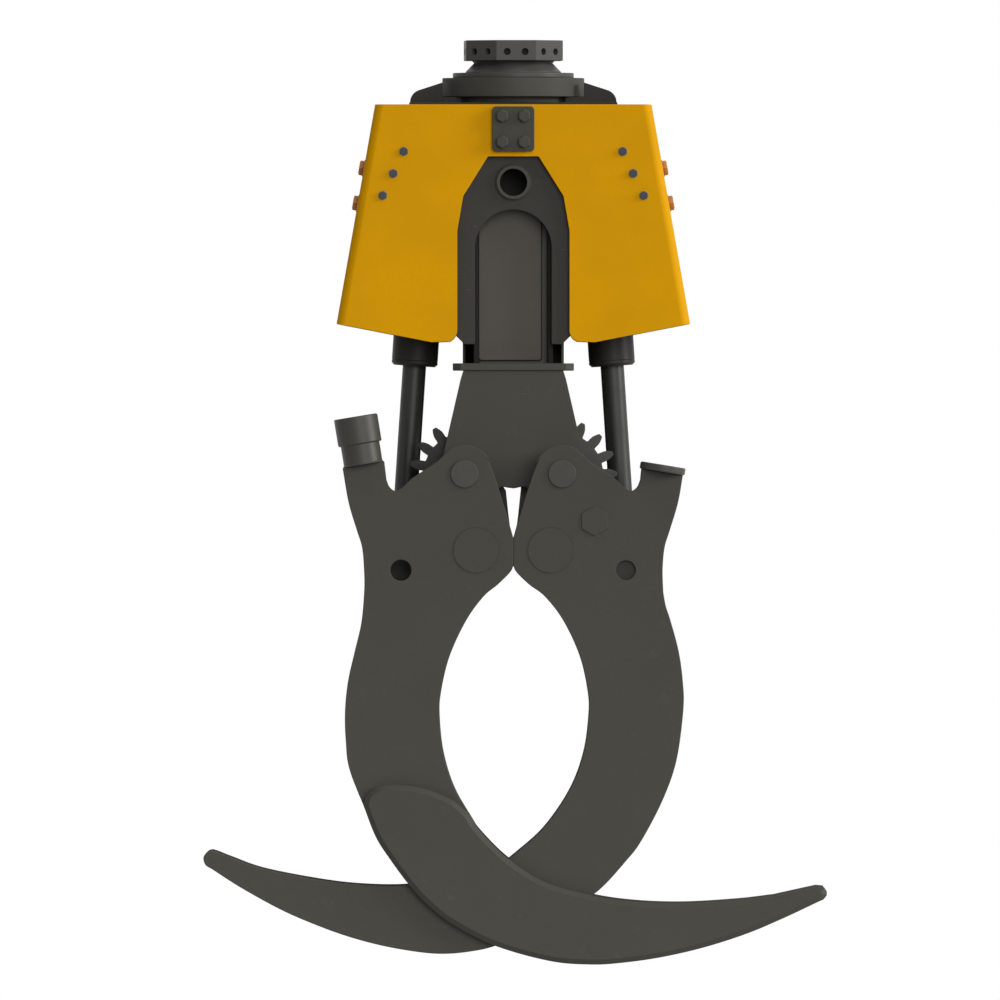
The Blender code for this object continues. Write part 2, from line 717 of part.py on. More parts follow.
def make_arch_plates():
    """Front and rear plates, each with the pad that its clamp plate squeezes the guard to."""
    hole = circle((0, -BOSS_DROP), BOSS_RADIUS + FIT, PIN_STEPS)
    half = CLAMP_WIDTH / 2
    pad = rectangle(-half, half, -CLAMP_TOP_DROP - CLAMP_HEIGHT, -DECK_BOTTOM - RUN)
    for end in ENDS:
        low, high = depths(end, FRAME_INNER, HALF_FRAME)
        name = "arch_plate_" + end
        arch = plate(name, [arch_outline(), hole], low, high, "housing_steel", "housing")
        inner = HALF_FRAME - BITE
        outer = GUARD_INNER - FIT
        mesh = flat_mesh("pad", [pad], outer - inner)
        weld(arch, name + "_pad", [mesh], [standing(*depths(end, inner, outer))])


def make_boss_tube():
    """Tube through both arch plates, open at both ends and walled off in its middle."""
    reach = HALF_FRAME + BOSS_PROUD
    wall = BOSS_WALL / 2
    cut = BOSS_PROUD / 4
    rear = [
        (0, wall), (BOSS_BORE_RADIUS, wall), (BOSS_BORE_RADIUS, reach), (BOSS_RADIUS - cut, reach),
        (BOSS_RADIUS, reach - cut),
    ]
    profile = rear + [(radius, -depth) for radius, depth in reversed(rear)]
    mesh = turned_mesh("boss_tube", profile, PIN_STEPS)
    place = Matrix.Translation((0, 0, -BOSS_DROP)) @ ALONG_Y
    finish("boss_tube", mesh, "housing_steel", "housing", place)


def upright_box(name, width, depth, wall, top, bottom, finish_name):
    """A square tube that stands on end."""
    outer = rectangle(-width / 2, width / 2, -depth / 2, depth / 2)
    inner = rectangle(-width / 2 + wall, width / 2 - wall, -depth / 2 + wall, depth / 2 - wall)
    mesh = flat_mesh(name, [outer, inner], top - bottom)
    finish(name, mesh, finish_name, "housing", Matrix.Translation((0, 0, (top + bottom) / 2)))


def make_column():
    foot = -FLANGE_DROP + FIT
    upright_box(
        "column_box", COLUMN_WIDTH, COLUMN_DEPTH, COLUMN_WALL, -COLUMN_TOP_DROP, foot,
        "housing_steel",
    )
    low_x = -COLUMN_WIDTH / 2 + COVER_SIDE_INSET
    low_z = foot + COVER_CORNER
    outline = rectangle(low_x, low_x + COVER_WIDTH, low_z, low_z + COVER_HEIGHT, COVER_CORNER)
    inner = COLUMN_DEPTH / 2 + FIT
    for end, sign in ENDS.items():
        low, high = depths(end, inner, inner + COVER_THICKNESS)
        shape = mirrored(outline, -sign)
        plate("column_cover_" + end, [shape], low, high, "housing_steel", "housing")


def make_side_plates():
    """Flanks with the cylinders' lugs, and outside them leg webs with a rib across the gap."""
    foot = -FLANGE_DROP + FIT
    deep = FRAME_INNER - FIT
    tall = rectangle(-deep, deep, foot, -DECK_BOTTOM - FIT)
    short = rectangle(-deep, deep, foot, -LEG_WEB_TOP_DROP)
    inner = COLUMN_WIDTH / 2 + FIT
    outer = inner + SIDE_PLATE_THICKNESS
    web = ARCH_WIDTH / 2 - LEG_WEB_INSET - LEG_WEB_THICKNESS / 2
    rib = rectangle(outer + FIT, web, foot, -LEG_WEB_TOP_DROP)
    facing = Matrix.Rotation(math.pi / 2, 4, "Z") @ UPRIGHT
    top = -DECK_BOTTOM - 2 * FIT
    nose = LUG_NOSE_RADIUS
    lug = [
        (outer - BITE, -TOP_PIN_DROP - 2 * nose),
        *arc((TOP_PIN_OUT, -TOP_PIN_DROP), nose, *LUG_ARC, 9), (TOP_PIN_OUT + nose, top),
        (outer - BITE, top),
    ]
    hole = circle((TOP_PIN_OUT, -TOP_PIN_DROP), TOP_PIN_RADIUS + FIT, PIN_STEPS)
    reach = LUG_GAP / 2 + LUG_THICKNESS
    for side, sign in SIDES.items():
        name = side + "_side_plate"
        place = Matrix.Translation((sign * (inner + outer) / 2, 0, 0)) @ facing
        mesh = flat_mesh(name, [tall], SIDE_PLATE_THICKNESS)
        flank = finish(name, mesh, "housing_steel", "housing", place)
        shapes = [mirrored(lug, sign), mirrored(hole, sign)]
        meshes = [flat_mesh("lug", shapes, LUG_THICKNESS) for end in ENDS]
        places = [standing(*depths(end, LUG_GAP / 2, reach)) for end in ENDS]
        weld(flank, name + "_lugs", meshes, places)

        name = side + "_leg_web"
        place = Matrix.Translation((sign * web, 0, 0)) @ facing
        mesh = flat_mesh(name, [short], LEG_WEB_THICKNESS)
        leg = finish(name, mesh, "housing_steel", "housing", place)
        mesh = flat_mesh("rib", [mirrored(rib, sign)], LEG_WEB_THICKNESS)
        middle = LEG_WEB_THICKNESS / 2
        weld(leg, name + "_rib", [mesh], [standing(-middle, middle)])

        name = side + "_top_pin"
        end = reach + ROD_PIN_PROUD
        mesh = turned_mesh(name, pin_profile(TOP_PIN_RADIUS, -end, end, RUN), PIN_STEPS)
        place = Matrix.Translation((sign * TOP_PIN_OUT, 0, -TOP_PIN_DROP)) @ ALONG_Y
        finish(name, mesh, "pin_steel", "housing", place)


def make_flange():
    half = FLANGE_WIDTH / 2
    deep = FLANGE_DEPTH / 2
    cut = FLANGE_CHAMFER
    outline = [
        (half, -deep + cut), (half, deep - cut), (half - cut, deep), (-half + cut, deep),
        (-half, deep - cut), (-half, -deep + cut), (-half + cut, -deep), (half - cut, -deep),
    ]
    mesh = flat_mesh("flange_plate", [outline], FLANGE_THICKNESS)
    place = Matrix.Translation((0, 0, -FLANGE_DROP - FLANGE_THICKNESS / 2))
    finish("flange_plate", mesh, "housing_steel", "housing", place)


def frame_outline():
    top = -FRAME_TOP
    pivot = PIVOT_SPACING / 2
    shoulder = FRAME_SHOULDER_WIDTH / 2
    throat = FRAME_THROAT_WIDTH / 2
    heel = arc((pivot, -PIVOT_DROP), FRAME_HEEL_RADIUS, *HEEL_ARC, 7)
    seat = -PIVOT_DROP - FRAME_HEEL_RADIUS / 2
    right = [
        (FRAME_TOP_WIDTH / 2, top), (shoulder, top - FRAME_SHOULDER_DROP), *heel,
        (throat, seat), (0, seat - FRAME_THROAT_SAG),
    ]
    return right + [(-x, z) for x, z in reversed(right[:-1])]


def make_frame_plates():
    """Front and rear hinge plates, each with two bosses that run through it."""
    for end in ENDS:
        low, high = depths(end, FRAME_INNER, HALF_FRAME)
        name = "frame_plate_" + end
        frame = plate(name, [frame_outline()], low, high, "housing_steel", "housing")
        low, high = depths(end, GEAR_OUTER + FIT, PLATE_INNER - FIT)
        middle = (low + high) / 2
        places = [
            Matrix.Translation((sign * PIVOT_SPACING / 2, middle, -PIVOT_DROP)) @ ALONG_Y
            for sign in SIDES.values()
        ]
        boss = cylinder_mesh("boss", PIVOT_BOSS_RADIUS, high - low, PIN_STEPS)
        weld(frame, name + "_bosses", [boss, boss], places)
        length = high - low + 2 * OVERRUN
        bore = cylinder_mesh("bore", PIVOT_PIN_RADIUS + TURN_FIT, length, PIN_STEPS)
        drill(frame, name + "_bores", [bore, bore], places)


def make_frame_core():
    low = -FRAME_TOP - CORE_HEIGHT
    outer = rectangle(-CORE_WIDTH / 2, CORE_WIDTH / 2, low, -FRAME_TOP)
    wall = CORE_WALL
    inner = rectangle(
        -CORE_WIDTH / 2 + wall, CORE_WIDTH / 2 - wall, low + wall, -FRAME_TOP - wall
    )
    reach = FRAME_INNER - FIT
    plate("frame_core", [outer, inner], -reach, reach, "housing_steel", "housing")


# Guard: two bent shells, each with a cut-out and slanted lower edges
def guard_half_width(drop):
    slope = (GUARD_BOTTOM_WIDTH - GUARD_TOP_WIDTH) / 2 / (GUARD_SIDE_DROP - GUARD_TOP_DROP)
    return GUARD_TOP_WIDTH / 2 + slope * (drop - GUARD_TOP_DROP)


def guard_section(half, end):
    """The bent sheet's outer line, seen from above, from the left flange round to the right one."""
    face = ENDS[end] * GUARD_OUTER
    flange = ENDS[end] * SHELL_GAP / 2
    bend = GUARD_BEND_RADIUS
    line = []
    for sign in (-1, 1):
        corner = []
        for i in range(GUARD_BEND_POINTS + 1):
            angle = math.pi / 2 * i / GUARD_BEND_POINTS
            x = sign * (half - bend + bend * math.cos(angle))
            corner.append((x, face - ENDS[end] * (bend - bend * math.sin(angle))))
        stretch = [(sign * half, flange)] + corner
        line += stretch if sign < 0 else list(reversed(stretch))
    return line


def guard_cutter(end):
    """All that is cut away from one shell: the opening over the column and what hangs too low."""
    depth = GUARD_OUTER + OVERRUN
    waist = CUTOUT_WIDTH / 2
    reach = GUARD_BOTTOM_WIDTH
    low = -GUARD_FOOT_DROP - GUARD_FOOT_RADIUS
    middle = (waist + GUARD_FOOT_RADIUS, -GUARD_FOOT_DROP + GUARD_FOOT_RADIUS)
    right = [
        (CUTOUT_TOP_WIDTH / 2, -CUTOUT_TOP_DROP), (CUTOUT_NECK_WIDTH / 2, -CUTOUT_NECK_DROP),
        (waist, -CUTOUT_WAIST_DROP), *arc(middle, GUARD_FOOT_RADIUS, *FOOT_ARC, 5),
        (GUARD_SLANT_END, -GUARD_FOOT_DROP), (GUARD_BOTTOM_WIDTH / 2, -GUARD_SIDE_DROP),
        (reach, -GUARD_SIDE_DROP), (reach, low),
    ]
    outline = [(-x, z) for x, z in reversed(right)] + right
    outline.reverse()
    mesh = flat_mesh("guard_cut_" + end, [outline], depth)
    return as_cutter("guard_cut_" + end, mesh, standing(*depths(end, 0, depth)))


def loft_sheet(name, lines, thickness, finish_name):
    """An open sheet between two lines, given its thickness inward by a Solidify."""
    body = bmesh.new()
    rows = [[body.verts.new(point) for point in line] for line in lines]
    for i in range(len(rows[0]) - 1):
        body.faces.new((rows[0][i], rows[1][i], rows[1][i + 1], rows[0][i + 1]))
    mesh = bpy.data.meshes.new(name)
    body.to_mesh(mesh)
    body.free()
    smooth_round(mesh)
    sheet = finish(name, mesh, finish_name, "housing")
    wall = sheet.modifiers.new("wall", "SOLIDIFY")
    wall.thickness = thickness
    wall.offset = -1
    wall.use_even_offset = True
    return sheet


def hex_mesh(name, flats, height):
    return cylinder_mesh(name, flats / 2 / math.cos(math.pi / HEX_STEPS), height, HEX_STEPS)


def make_guard():
    for end, way in ENDS.items():
        name = "guard_" + end
        lines = []
        for drop in (GUARD_TOP_DROP, GUARD_FOOT_DROP + OVERRUN):
            section = guard_section(guard_half_width(drop), end)
            line = [(x, y, -drop) for x, y in section]
            lines.append(line if way < 0 else list(reversed(line)))
        shell = loft_sheet(name, lines, GUARD_SHEET, "guard_yellow")
        combine(shell, guard_cutter(end), "DIFFERENCE")
        weld(shell, name + "_screws", *corner_screws(way))
        weld(shell, name + "_side_screws", *side_screws(way))


def make_clamps():
    """A clamp plate with its four screws on each face of the guard."""
    half = CLAMP_WIDTH / 2
    outline = rectangle(
        -half, half, -CLAMP_TOP_DROP - CLAMP_HEIGHT, -CLAMP_TOP_DROP, CLAMP_CORNER, 4
    )
    inner = GUARD_OUTER + FIT
    outer = inner + CLAMP_THICKNESS
    middle = -CLAMP_TOP_DROP - CLAMP_HEIGHT / 2
    height = CLAMP_HEX_HEIGHT + BITE
    for end, way in ENDS.items():
        name = "clamp_plate_" + end
        low, high = depths(end, inner, outer)
        clamp = plate(name, [outline], low, high, "dark_steel", "housing")
        places = []
        for x in (-CLAMP_BOLT_X / 2, CLAMP_BOLT_X / 2):
            for z in (-CLAMP_BOLT_Z / 2, CLAMP_BOLT_Z / 2):
                spot = (x, way * (outer - BITE + height / 2), middle + z)
                places.append(Matrix.Translation(spot) @ ALONG_Y)
        screw = hex_mesh("screw", CLAMP_HEX_FLATS, height)
        weld(clamp, name + "_screws", [screw] * len(places), places)


def corner_bolt_spots():
    return [
        (CORNER_BOLT_OUT + i * CORNER_BOLT_STEP_OUT, -CORNER_BOLT_DROP - i * CORNER_BOLT_STEP_DROP)
        for i in range(CORNER_BOLTS)
    ]


def guard_slope():
    return math.atan2((GUARD_BOTTOM_WIDTH - GUARD_TOP_WIDTH) / 2, GUARD_SIDE_DROP - GUARD_TOP_DROP)


def corner_screws(way):
    """Screw heads on one face of the guard, three towards each upper corner."""
    height = CORNER_BOLT_HEIGHT + BITE
    head = cylinder_mesh("screw", CORNER_BOLT_RADIUS, height, BOLT_STEPS)
    places = []
    for sign in SIDES.values():
        for x, z in corner_bolt_spots():
            spot = (sign * x, way * (GUARD_OUTER - BITE + height / 2), z)
            places.append(Matrix.Translation(spot) @ ALONG_Y)
    return [head] * len(places), places


def side_screws(way):
    """Hexagon heads on one shell's side flanges."""
    height = SIDE_HEX_HEIGHT + BITE
    head = hex_mesh("screw", SIDE_HEX_FLATS, height)
    places = []
    for side, sign in SIDES.items():
        lean = Matrix.Rotation(-sign * guard_slope(), 4, "Y")
        for i in range(SIDE_BOLTS):
            drop = SIDE_BOLT_DROP + i * SIDE_BOLT_STEP
            out = guard_half_width(drop) + (height / 2 - BITE) / math.cos(guard_slope())
            spot = Matrix.Translation((sign * out, way * SIDE_BOLT_OFFSET, -drop))
            places.append(spot @ lean @ OUTWARD[side])
    return [head] * len(places), places


def make_guard_brackets():
    """A bent bracket in each side of the guard, behind the corner screws and the side screws."""
    rows = corner_bolt_spots()
    top = -rows[0][1] - BRACKET_MARGIN
    low = SIDE_BOLT_DROP + (SIDE_BOLTS - 1) * SIDE_BOLT_STEP + BRACKET_MARGIN
    inset = GUARD_SHEET / math.cos(guard_slope()) + RUN
    face = GUARD_INNER - FIT
    bend = GUARD_BEND_RADIUS
    for side, sign in SIDES.items():
        lines = []
        for drop, bolt in ((top, rows[0]), (low, rows[-1])):
            half = guard_half_width(drop) - inset
            corner = []
            for i in range(GUARD_BEND_POINTS + 1):
                angle = math.pi / 2 * i / GUARD_BEND_POINTS
                out = half - bend + bend * math.sin(angle)
                corner.append((out, face - bend + bend * math.cos(angle)))
            front = [(bolt[0] - BRACKET_MARGIN, face)] + corner
            section = front + [(x, -y) for x, y in reversed(front)]
            line = [(sign * x, y, -drop) for x, y in section]
            lines.append(line if sign < 0 else list(reversed(line)))
        loft_sheet(side + "_guard_bracket", lines, BRACKET_THICKNESS, "housing_steel")


# Arms: each point is a share of the arm's size, outward and down from the pivots' level
def arm_points(shares, sign):
    points = []
    for out, down in shares:
        points.append((sign * (out * ARM_WIDTH + ARM_TOUCH_GAP / 2), -PIVOT_DROP - down * ARM_HEIGHT))
    return points


def horn_top(side):
    """The two ends of the horn's top edge; the right one is lower by its stop disc."""
    outer, inner = arm_points((HORN_OUTER_share, HORN_INNER_share), 1)
    if side == "left":
        return outer, inner
    drop = STOP_DISC_THICKNESS
    shift = (drop * math.sin(HORN_TILT), drop * math.cos(HORN_TILT))
    return (outer[0] - shift[0], outer[1] - shift[1]), (inner[0] - shift[0], inner[1] - shift[1])


def arm_outline(side):
    """The plate's edge, drawn on the right and mirrored for the left arm."""
    pivot = (PIVOT_SPACING / 2, -PIVOT_DROP)
    outer, inner = horn_top(side)
    lobe = arc(pivot, LOBE_RADIUS, *LOBE_ARC, 9)
    valley = smooth(arm_points(HORN_VALLEY_shares, 1), 2)
    rise = arm_points(HORN_RISE_shares, 1)
    throat = smooth(arm_points(THROAT_shares, 1), 2)
    edge = [outer, inner] + valley + rise + lobe + throat[1:]
    if side == "left":
        down = smooth(arm_points(LEFT_INNER_shares, 1))
        back = smooth([outer] + arm_points(ARM_OUTER_shares[:-1], 1))
        return edge + down + arm_points(LEFT_END_shares, 1) + list(reversed(back))[:-1]
    down = smooth(arm_points(RIGHT_INNER_shares + RIGHT_UPPER_shares, 1))
    tip = smooth(arm_points(RIGHT_UPPER_shares[-1:] + RIGHT_TIP_shares, 1), 2)[1:]
    under = smooth(arm_points(RIGHT_TIP_shares[-1:] + RIGHT_LOWER_shares, 1))[1:]
    shoulder = tuple(reversed(ARM_OUTER_shares[:4]))
    side_up = smooth(arm_points(RIGHT_LOWER_shares[-1:] + shoulder, 1) + [outer])[1:-1]
    return edge + down + tip + under + side_up


def arm_holes():
    pivot = PIVOT_SPACING / 2
    return [
        circle((pivot, -PIVOT_DROP), PIVOT_PIN_RADIUS + FIT, PIN_STEPS),
        circle((pivot - TUBE_IN, -PIVOT_DROP - TUBE_DROP), TUBE_RADIUS + FIT, PIN_STEPS),
        circle((ROD_PIN_X, -ROD_PIN_Z), ACCESS_HOLE_RADIUS, PIN_STEPS),
    ]


def make_arm_plates(side, sign):
    outer = LEFT_OUTER if side == "left" else RIGHT_OUTER
    shapes = [mirrored(shape, sign) for shape in [arm_outline(side)] + arm_holes()]
    for end, way in ENDS.items():
        low, high = depths(end, PLATE_INNER, outer)
        name = side + "_arm_plate_" + end
        arm = plate(name, shapes, low, high, "dark_steel", side + "_arm")
        if side == "right":
            height = HEX_PLUG_PROUD + BITE
            spot = (
                PIVOT_SPACING / 2 + HEX_PLUG_OUT, way * (outer - BITE + height / 2),
                -PIVOT_DROP - HEX_PLUG_DROP,
            )
            point_up = Matrix.Rotation(math.pi / HEX_STEPS, 4, "Y")
            plug = hex_mesh("plug", HEX_PLUG_FLATS, height)
            place = Matrix.Translation(spot) @ point_up @ ALONG_Y
            weld(arm, name + "_plug", [plug], [place])


def tooth_angle(radius, base):
    """How far a flank leans from its start on the base circle to this radius."""
    if radius <= base:
        return 0.0
    roll = math.sqrt((radius / base) ** 2 - 1)
    return roll - math.atan(roll)


def gear_teeth(first_tooth):
    """Points of the toothed edge about a pivot at zero, with angles measured from the mesh."""
    base = PITCH_RADIUS * math.cos(PRESSURE_ANGLE)
    root = PITCH_RADIUS - DEDENDUM
    tip = PITCH_RADIUS + ADDENDUM
    step = 2 * math.pi / TEETH_ROUND
    half_at_pitch = step / 4 - BACKLASH / (4 * PITCH_RADIUS)
    half_at_base = half_at_pitch + tooth_angle(PITCH_RADIUS, base)
    points = []
    for i in range(TEETH_CUT):
        middle = first_tooth + i * step
        flank = []
        for j in range(FLANK_POINTS + 1):
            radius = base + (tip - base) * j / FLANK_POINTS
            flank.append((radius, half_at_base - tooth_angle(radius, base)))
        edge = [(root, middle - half_at_base * ROOT_FLARE)]
        edge += [(radius, middle - half) for radius, half in flank]
        edge += [(radius, middle + half) for radius, half in reversed(flank)]
        edge += [(root, middle + half_at_base * ROOT_FLARE)]
        points += edge
    return [(radius * math.cos(angle), radius * math.sin(angle)) for radius, angle in points]


def gear_outline(side):
    """Toothed sector with the web that runs down to the torque tube and the rod pin."""
    pivot = PIVOT_SPACING / 2
    step = 2 * math.pi / TEETH_ROUND
    teeth = gear_teeth(-step / 2 if side == "left" else 0.0)
    edge = [(pivot - x, -PIVOT_DROP + z) for x, z in teeth]
    rod_boss = arc((ROD_PIN_X, -ROD_PIN_Z), ROD_BOSS_RADIUS, *ROD_BOSS_ARC, 6)
    tube = (pivot - TUBE_IN, -PIVOT_DROP - TUBE_DROP)
    tube_boss = arc(tube, TUBE_BOSS_RADIUS, *TUBE_BOSS_ARC, 6)
    return edge + rod_boss + tube_boss + arm_points(GEAR_EDGE_shares, 1)


def make_gear_plates(side, sign):
    pivot = PIVOT_SPACING / 2
    holes = [
        circle((pivot, -PIVOT_DROP), PIVOT_PIN_RADIUS + FIT, PIN_STEPS),
        circle((pivot - TUBE_IN, -PIVOT_DROP - TUBE_DROP), TUBE_RADIUS + FIT, PIN_STEPS),
    ]
    shapes = [mirrored(shape, sign) for shape in [gear_outline(side)] + holes]
    collar_length = GEAR_INNER + BITE - ROD_EYE_WIDTH / 2 - FIT
    collar = cylinder_mesh("collar", COLLAR_RADIUS, collar_length, PIN_STEPS)
    bore = cylinder_mesh("bore", ROD_PIN_RADIUS + FIT, 2 * GEAR_OUTER, PIN_STEPS)
    for end, way in ENDS.items():
        low, high = depths(end, GEAR_INNER, GEAR_OUTER)
        name = side + "_gear_" + end
        gear = plate(name, shapes, low, high, "dark_steel", side + "_arm")
        middle = way * (GEAR_INNER + BITE - collar_length / 2)
        spot = Matrix.Translation((sign * ROD_PIN_X, middle, -ROD_PIN_Z)) @ ALONG_Y
        weld(gear, name + "_collar", [collar], [spot])
        drill(gear, name + "_bore", [bore], [spot])


def make_arm_shafts(side, sign):
    body = side + "_arm"
    outer = LEFT_OUTER if side == "left" else RIGHT_OUTER
    pivot = (sign * PIVOT_SPACING / 2, 0, -PIVOT_DROP)
    tube = (sign * (PIVOT_SPACING / 2 - TUBE_IN), 0, -PIVOT_DROP - TUBE_DROP)
    rod_pin = (sign * ROD_PIN_X, 0, -ROD_PIN_Z)
    reach = outer + PIVOT_PIN_PROUD
    step = GEAR_INNER - FIT
    radius = PIVOT_PIN_RADIUS
    profile = [
        (0, reach), (radius - RUN, reach), (radius, reach - RUN), (radius, step),
        (SLEEVE_RADIUS, step), (SLEEVE_RADIUS, -step), (radius, -step), (radius, -reach + RUN),
        (radius - RUN, -reach), (0, -reach),
    ]
    name = side + "_pivot_shaft"
    mesh = turned_mesh(name, profile, PIN_STEPS)
    finish(name, mesh, "dark_steel", body, Matrix.Translation(pivot) @ ALONG_Y)
    reach = outer + TUBE_PROUD
    name = side + "_torque_tube"
    mesh = turned_mesh(name, pin_profile(TUBE_RADIUS, -reach, reach, TUBE_PROUD), PIN_STEPS)
    finish(name, mesh, "dark_steel", body, Matrix.Translation(tube) @ ALONG_Y)
    reach = GEAR_OUTER + ROD_PIN_PROUD if side == "left" else outer - 2 * ROD_PIN_PROUD
    name = side + "_rod_pin"
    mesh = turned_mesh(name, pin_profile(ROD_PIN_RADIUS, -reach, reach, RUN), PIN_STEPS)
    finish(name, mesh, "pin_steel", body, Matrix.Translation(rod_pin) @ ALONG_Y)


def make_arm_web(side, sign):
    """Bent back plate between the front and rear plates, just inside their outer edge."""
    first, last = WEB_RANGE_shares
    run = [share for share in ARM_OUTER_shares if first <= share[1] <= last]
    line = [Vector(p) for p in smooth(arm_points(run, 1), 3)]
    outer = []
    inner = []
    for i, point in enumerate(line):
        ahead = line[min(i + 1, len(line) - 1)] - line[max(i - 1, 0)]
        normal = Vector((ahead.y, -ahead.x)).normalized()
        outer.append(tuple(point + normal * WEB_INSET))
        inner.append(tuple(point + normal * (WEB_INSET + WEB_THICKNESS)))
    outline = outer + list(reversed(inner))
    reach = PLATE_INNER - FIT
    name = side + "_arm_web"
    plate(name, [mirrored(outline, sign)], -reach, reach, "dark_steel", side + "_arm")


def make_cross_tubes(side, sign):
    """Round bars between the plates, one in the arm's heel and a thin one towards a long tip."""
    reach = PLATE_INNER - FIT
    rows = [(side + "_cross_tube", CROSS_TUBE_share, CROSS_TUBE_RADIUS)]
    if side == "right":
        rows.append(("right_spreader", SPREADER_share, SPREADER_RADIUS))
    for name, share, radius in rows:
        x, z = arm_points((share,), sign)[0]
        mesh = cylinder_mesh(name, radius, 2 * reach, PIN_STEPS)
        finish(name, mesh, "dark_steel", side + "_arm", Matrix.Translation((x, 0, z)) @ ALONG_Y)


def tine_outline():
    heel = smooth(arm_points(TINE_INNER_shares[-1:] + TINE_HEEL_shares + TINE_OUTER_shares[:1], 1), 3)
    outer = smooth(arm_points(TINE_OUTER_shares, 1))
    tip = arm_points(TINE_TIP_shares, 1)
    inner = smooth(arm_points(TINE_INNER_shares, 1))
    return heel[:-1] + outer + tip + inner[:-1]


def bevel_face(mesh, way, bevel):
    """Bevel the rim of one face of a flat piece, whose own Z runs through its thickness."""
    body = bmesh.new()
    body.from_mesh(mesh)
    cap = [face for face in body.faces if face.normal.z * way > 0.5]
    joined = bmesh.ops.dissolve_faces(body, faces=cap)["region"]
    bmesh.ops.inset_region(body, faces=joined, thickness=bevel, depth=0, use_even_offset=False)
    rim = [face for face in body.faces if face.normal.z * way > 0.5 and face not in joined]
    level = {vert for face in rim for vert in face.verts}
    raised = {vert for face in joined for vert in face.verts}
    for vert in level - raised:
        vert.co.z -= way * bevel
    body.to_mesh(mesh)
    body.free()


def make_left_tines():
    """Bevelled blades on the outer faces of the left arm's plates."""
    for end, way in ENDS.items():
        low, high = depths(end, TINE_INNER_FACE, TINE_OUTER_FACE)
        name = "left_tine_" + end
        mesh = flat_mesh(name, [mirrored(tine_outline())], high - low)
        bevel_face(mesh, -way, TINE_BEVEL)
        finish(name, mesh, "dark_steel", "left_arm", standing(low, high))


def horn_place(side, sign, depth):
    """On the middle of the horn's top edge, turned to stand square to it."""
    outer, inner = horn_top(side)
    middle = (sign * (outer[0] + inner[0]) / 2, depth, (outer[1] + inner[1]) / 2)
    tilt = Matrix.Rotation(sign * HORN_TILT, 4, "Y")
    return Matrix.Translation(middle) @ tilt @ Matrix.Translation((0, 0, FIT))


def make_bumpers():
    cap = BUMPER_CAP_RADIUS
    neck = BUMPER_NECK_RADIUS
    cut = BUMPER_CHAMFER
    step = BUMPER_NECK_HEIGHT
    top = step + BUMPER_CAP_HEIGHT
    profile = [
        (0, top), (cap - cut, top), (cap, top - cut), (cap, step + cut), (cap - cut, step),
        (neck, step), (neck, cut), (neck + cut, 0), (0, 0),
    ]
    middle = PLATE_INNER + LEFT_PLATE_THICKNESS / 2
    for end, way in ENDS.items():
        name = "left_bumper_" + end
        place = horn_place("left", -1, way * middle)
        finish(name, turned_mesh(name, profile, PIN_STEPS), "bumper_grey", "left_arm", place)


def make_stop_discs():
    thick = STOP_DISC_THICKNESS - 2 * FIT
    middle = PLATE_INNER + ARM_PLATE_THICKNESS / 2
    for end, way in ENDS.items():
        name = "right_stop_disc_" + end
        profile = pin_profile(STOP_DISC_RADIUS, 0, thick, BUMPER_CHAMFER)
        place = horn_place("right", 1, way * middle)
        finish(name, turned_mesh(name, profile, PIN_STEPS), "bumper_grey", "right_arm", place)


# Cylinders: drawn straight down from their top pin, then leaned outward
def cylinder_place(sign):
    top = Matrix.Translation((sign * TOP_PIN_OUT, 0, -TOP_PIN_DROP))
    return top @ Matrix.Rotation(-sign * CYLINDER_LEAN, 4, "Y")


def make_barrel(side, sign):
    body = side + "_barrel"
    seat = -GLAND_END_DROP + GLAND_LENGTH
    head = TOP_EYE_RADIUS / 2
    profile = [
        (0, -head), (BARREL_RADIUS, -head), (BARREL_RADIUS, seat + FIT),
        (BARREL_BORE_RADIUS, seat + FIT), (BARREL_BORE_RADIUS, -BARREL_HEAD_DROP),
        (0, -BARREL_HEAD_DROP),
    ]
    place = cylinder_place(sign)
    mesh = turned_mesh(body, profile, PIN_STEPS)
    barrel = finish(body, mesh, "cylinder_black", body, place)
    eye = cylinder_mesh("eye", TOP_EYE_RADIUS, TOP_EYE_WIDTH, PIN_STEPS)
    combine(barrel, as_cutter(side + "_top_eye", eye, place @ ALONG_Y), "UNION")
    bore = cylinder_mesh("bore", TOP_EYE_BORE_RADIUS, TOP_EYE_WIDTH + OVERRUN, PIN_STEPS)
    combine(barrel, as_cutter(side + "_top_bore", bore, place @ ALONG_Y), "DIFFERENCE")


def make_gland(side, sign):
    seat = -GLAND_END_DROP + GLAND_LENGTH
    cut = GLAND_CHAMFER
    low = -GLAND_END_DROP
    bore = ROD_RADIUS + FIT
    spigot = BARREL_BORE_RADIUS - FIT
    profile = [
        (spigot, seat + GLAND_SPIGOT), (spigot, seat), (GLAND_RADIUS, seat),
        (GLAND_RADIUS, low + cut), (GLAND_RADIUS - cut, low), (bore, low),
        (bore, seat + GLAND_SPIGOT),
    ]
    name = side + "_gland"
    mesh = turned_mesh(name, profile, PIN_STEPS)
    finish(name, mesh, "cylinder_black", side + "_barrel", cylinder_place(sign))


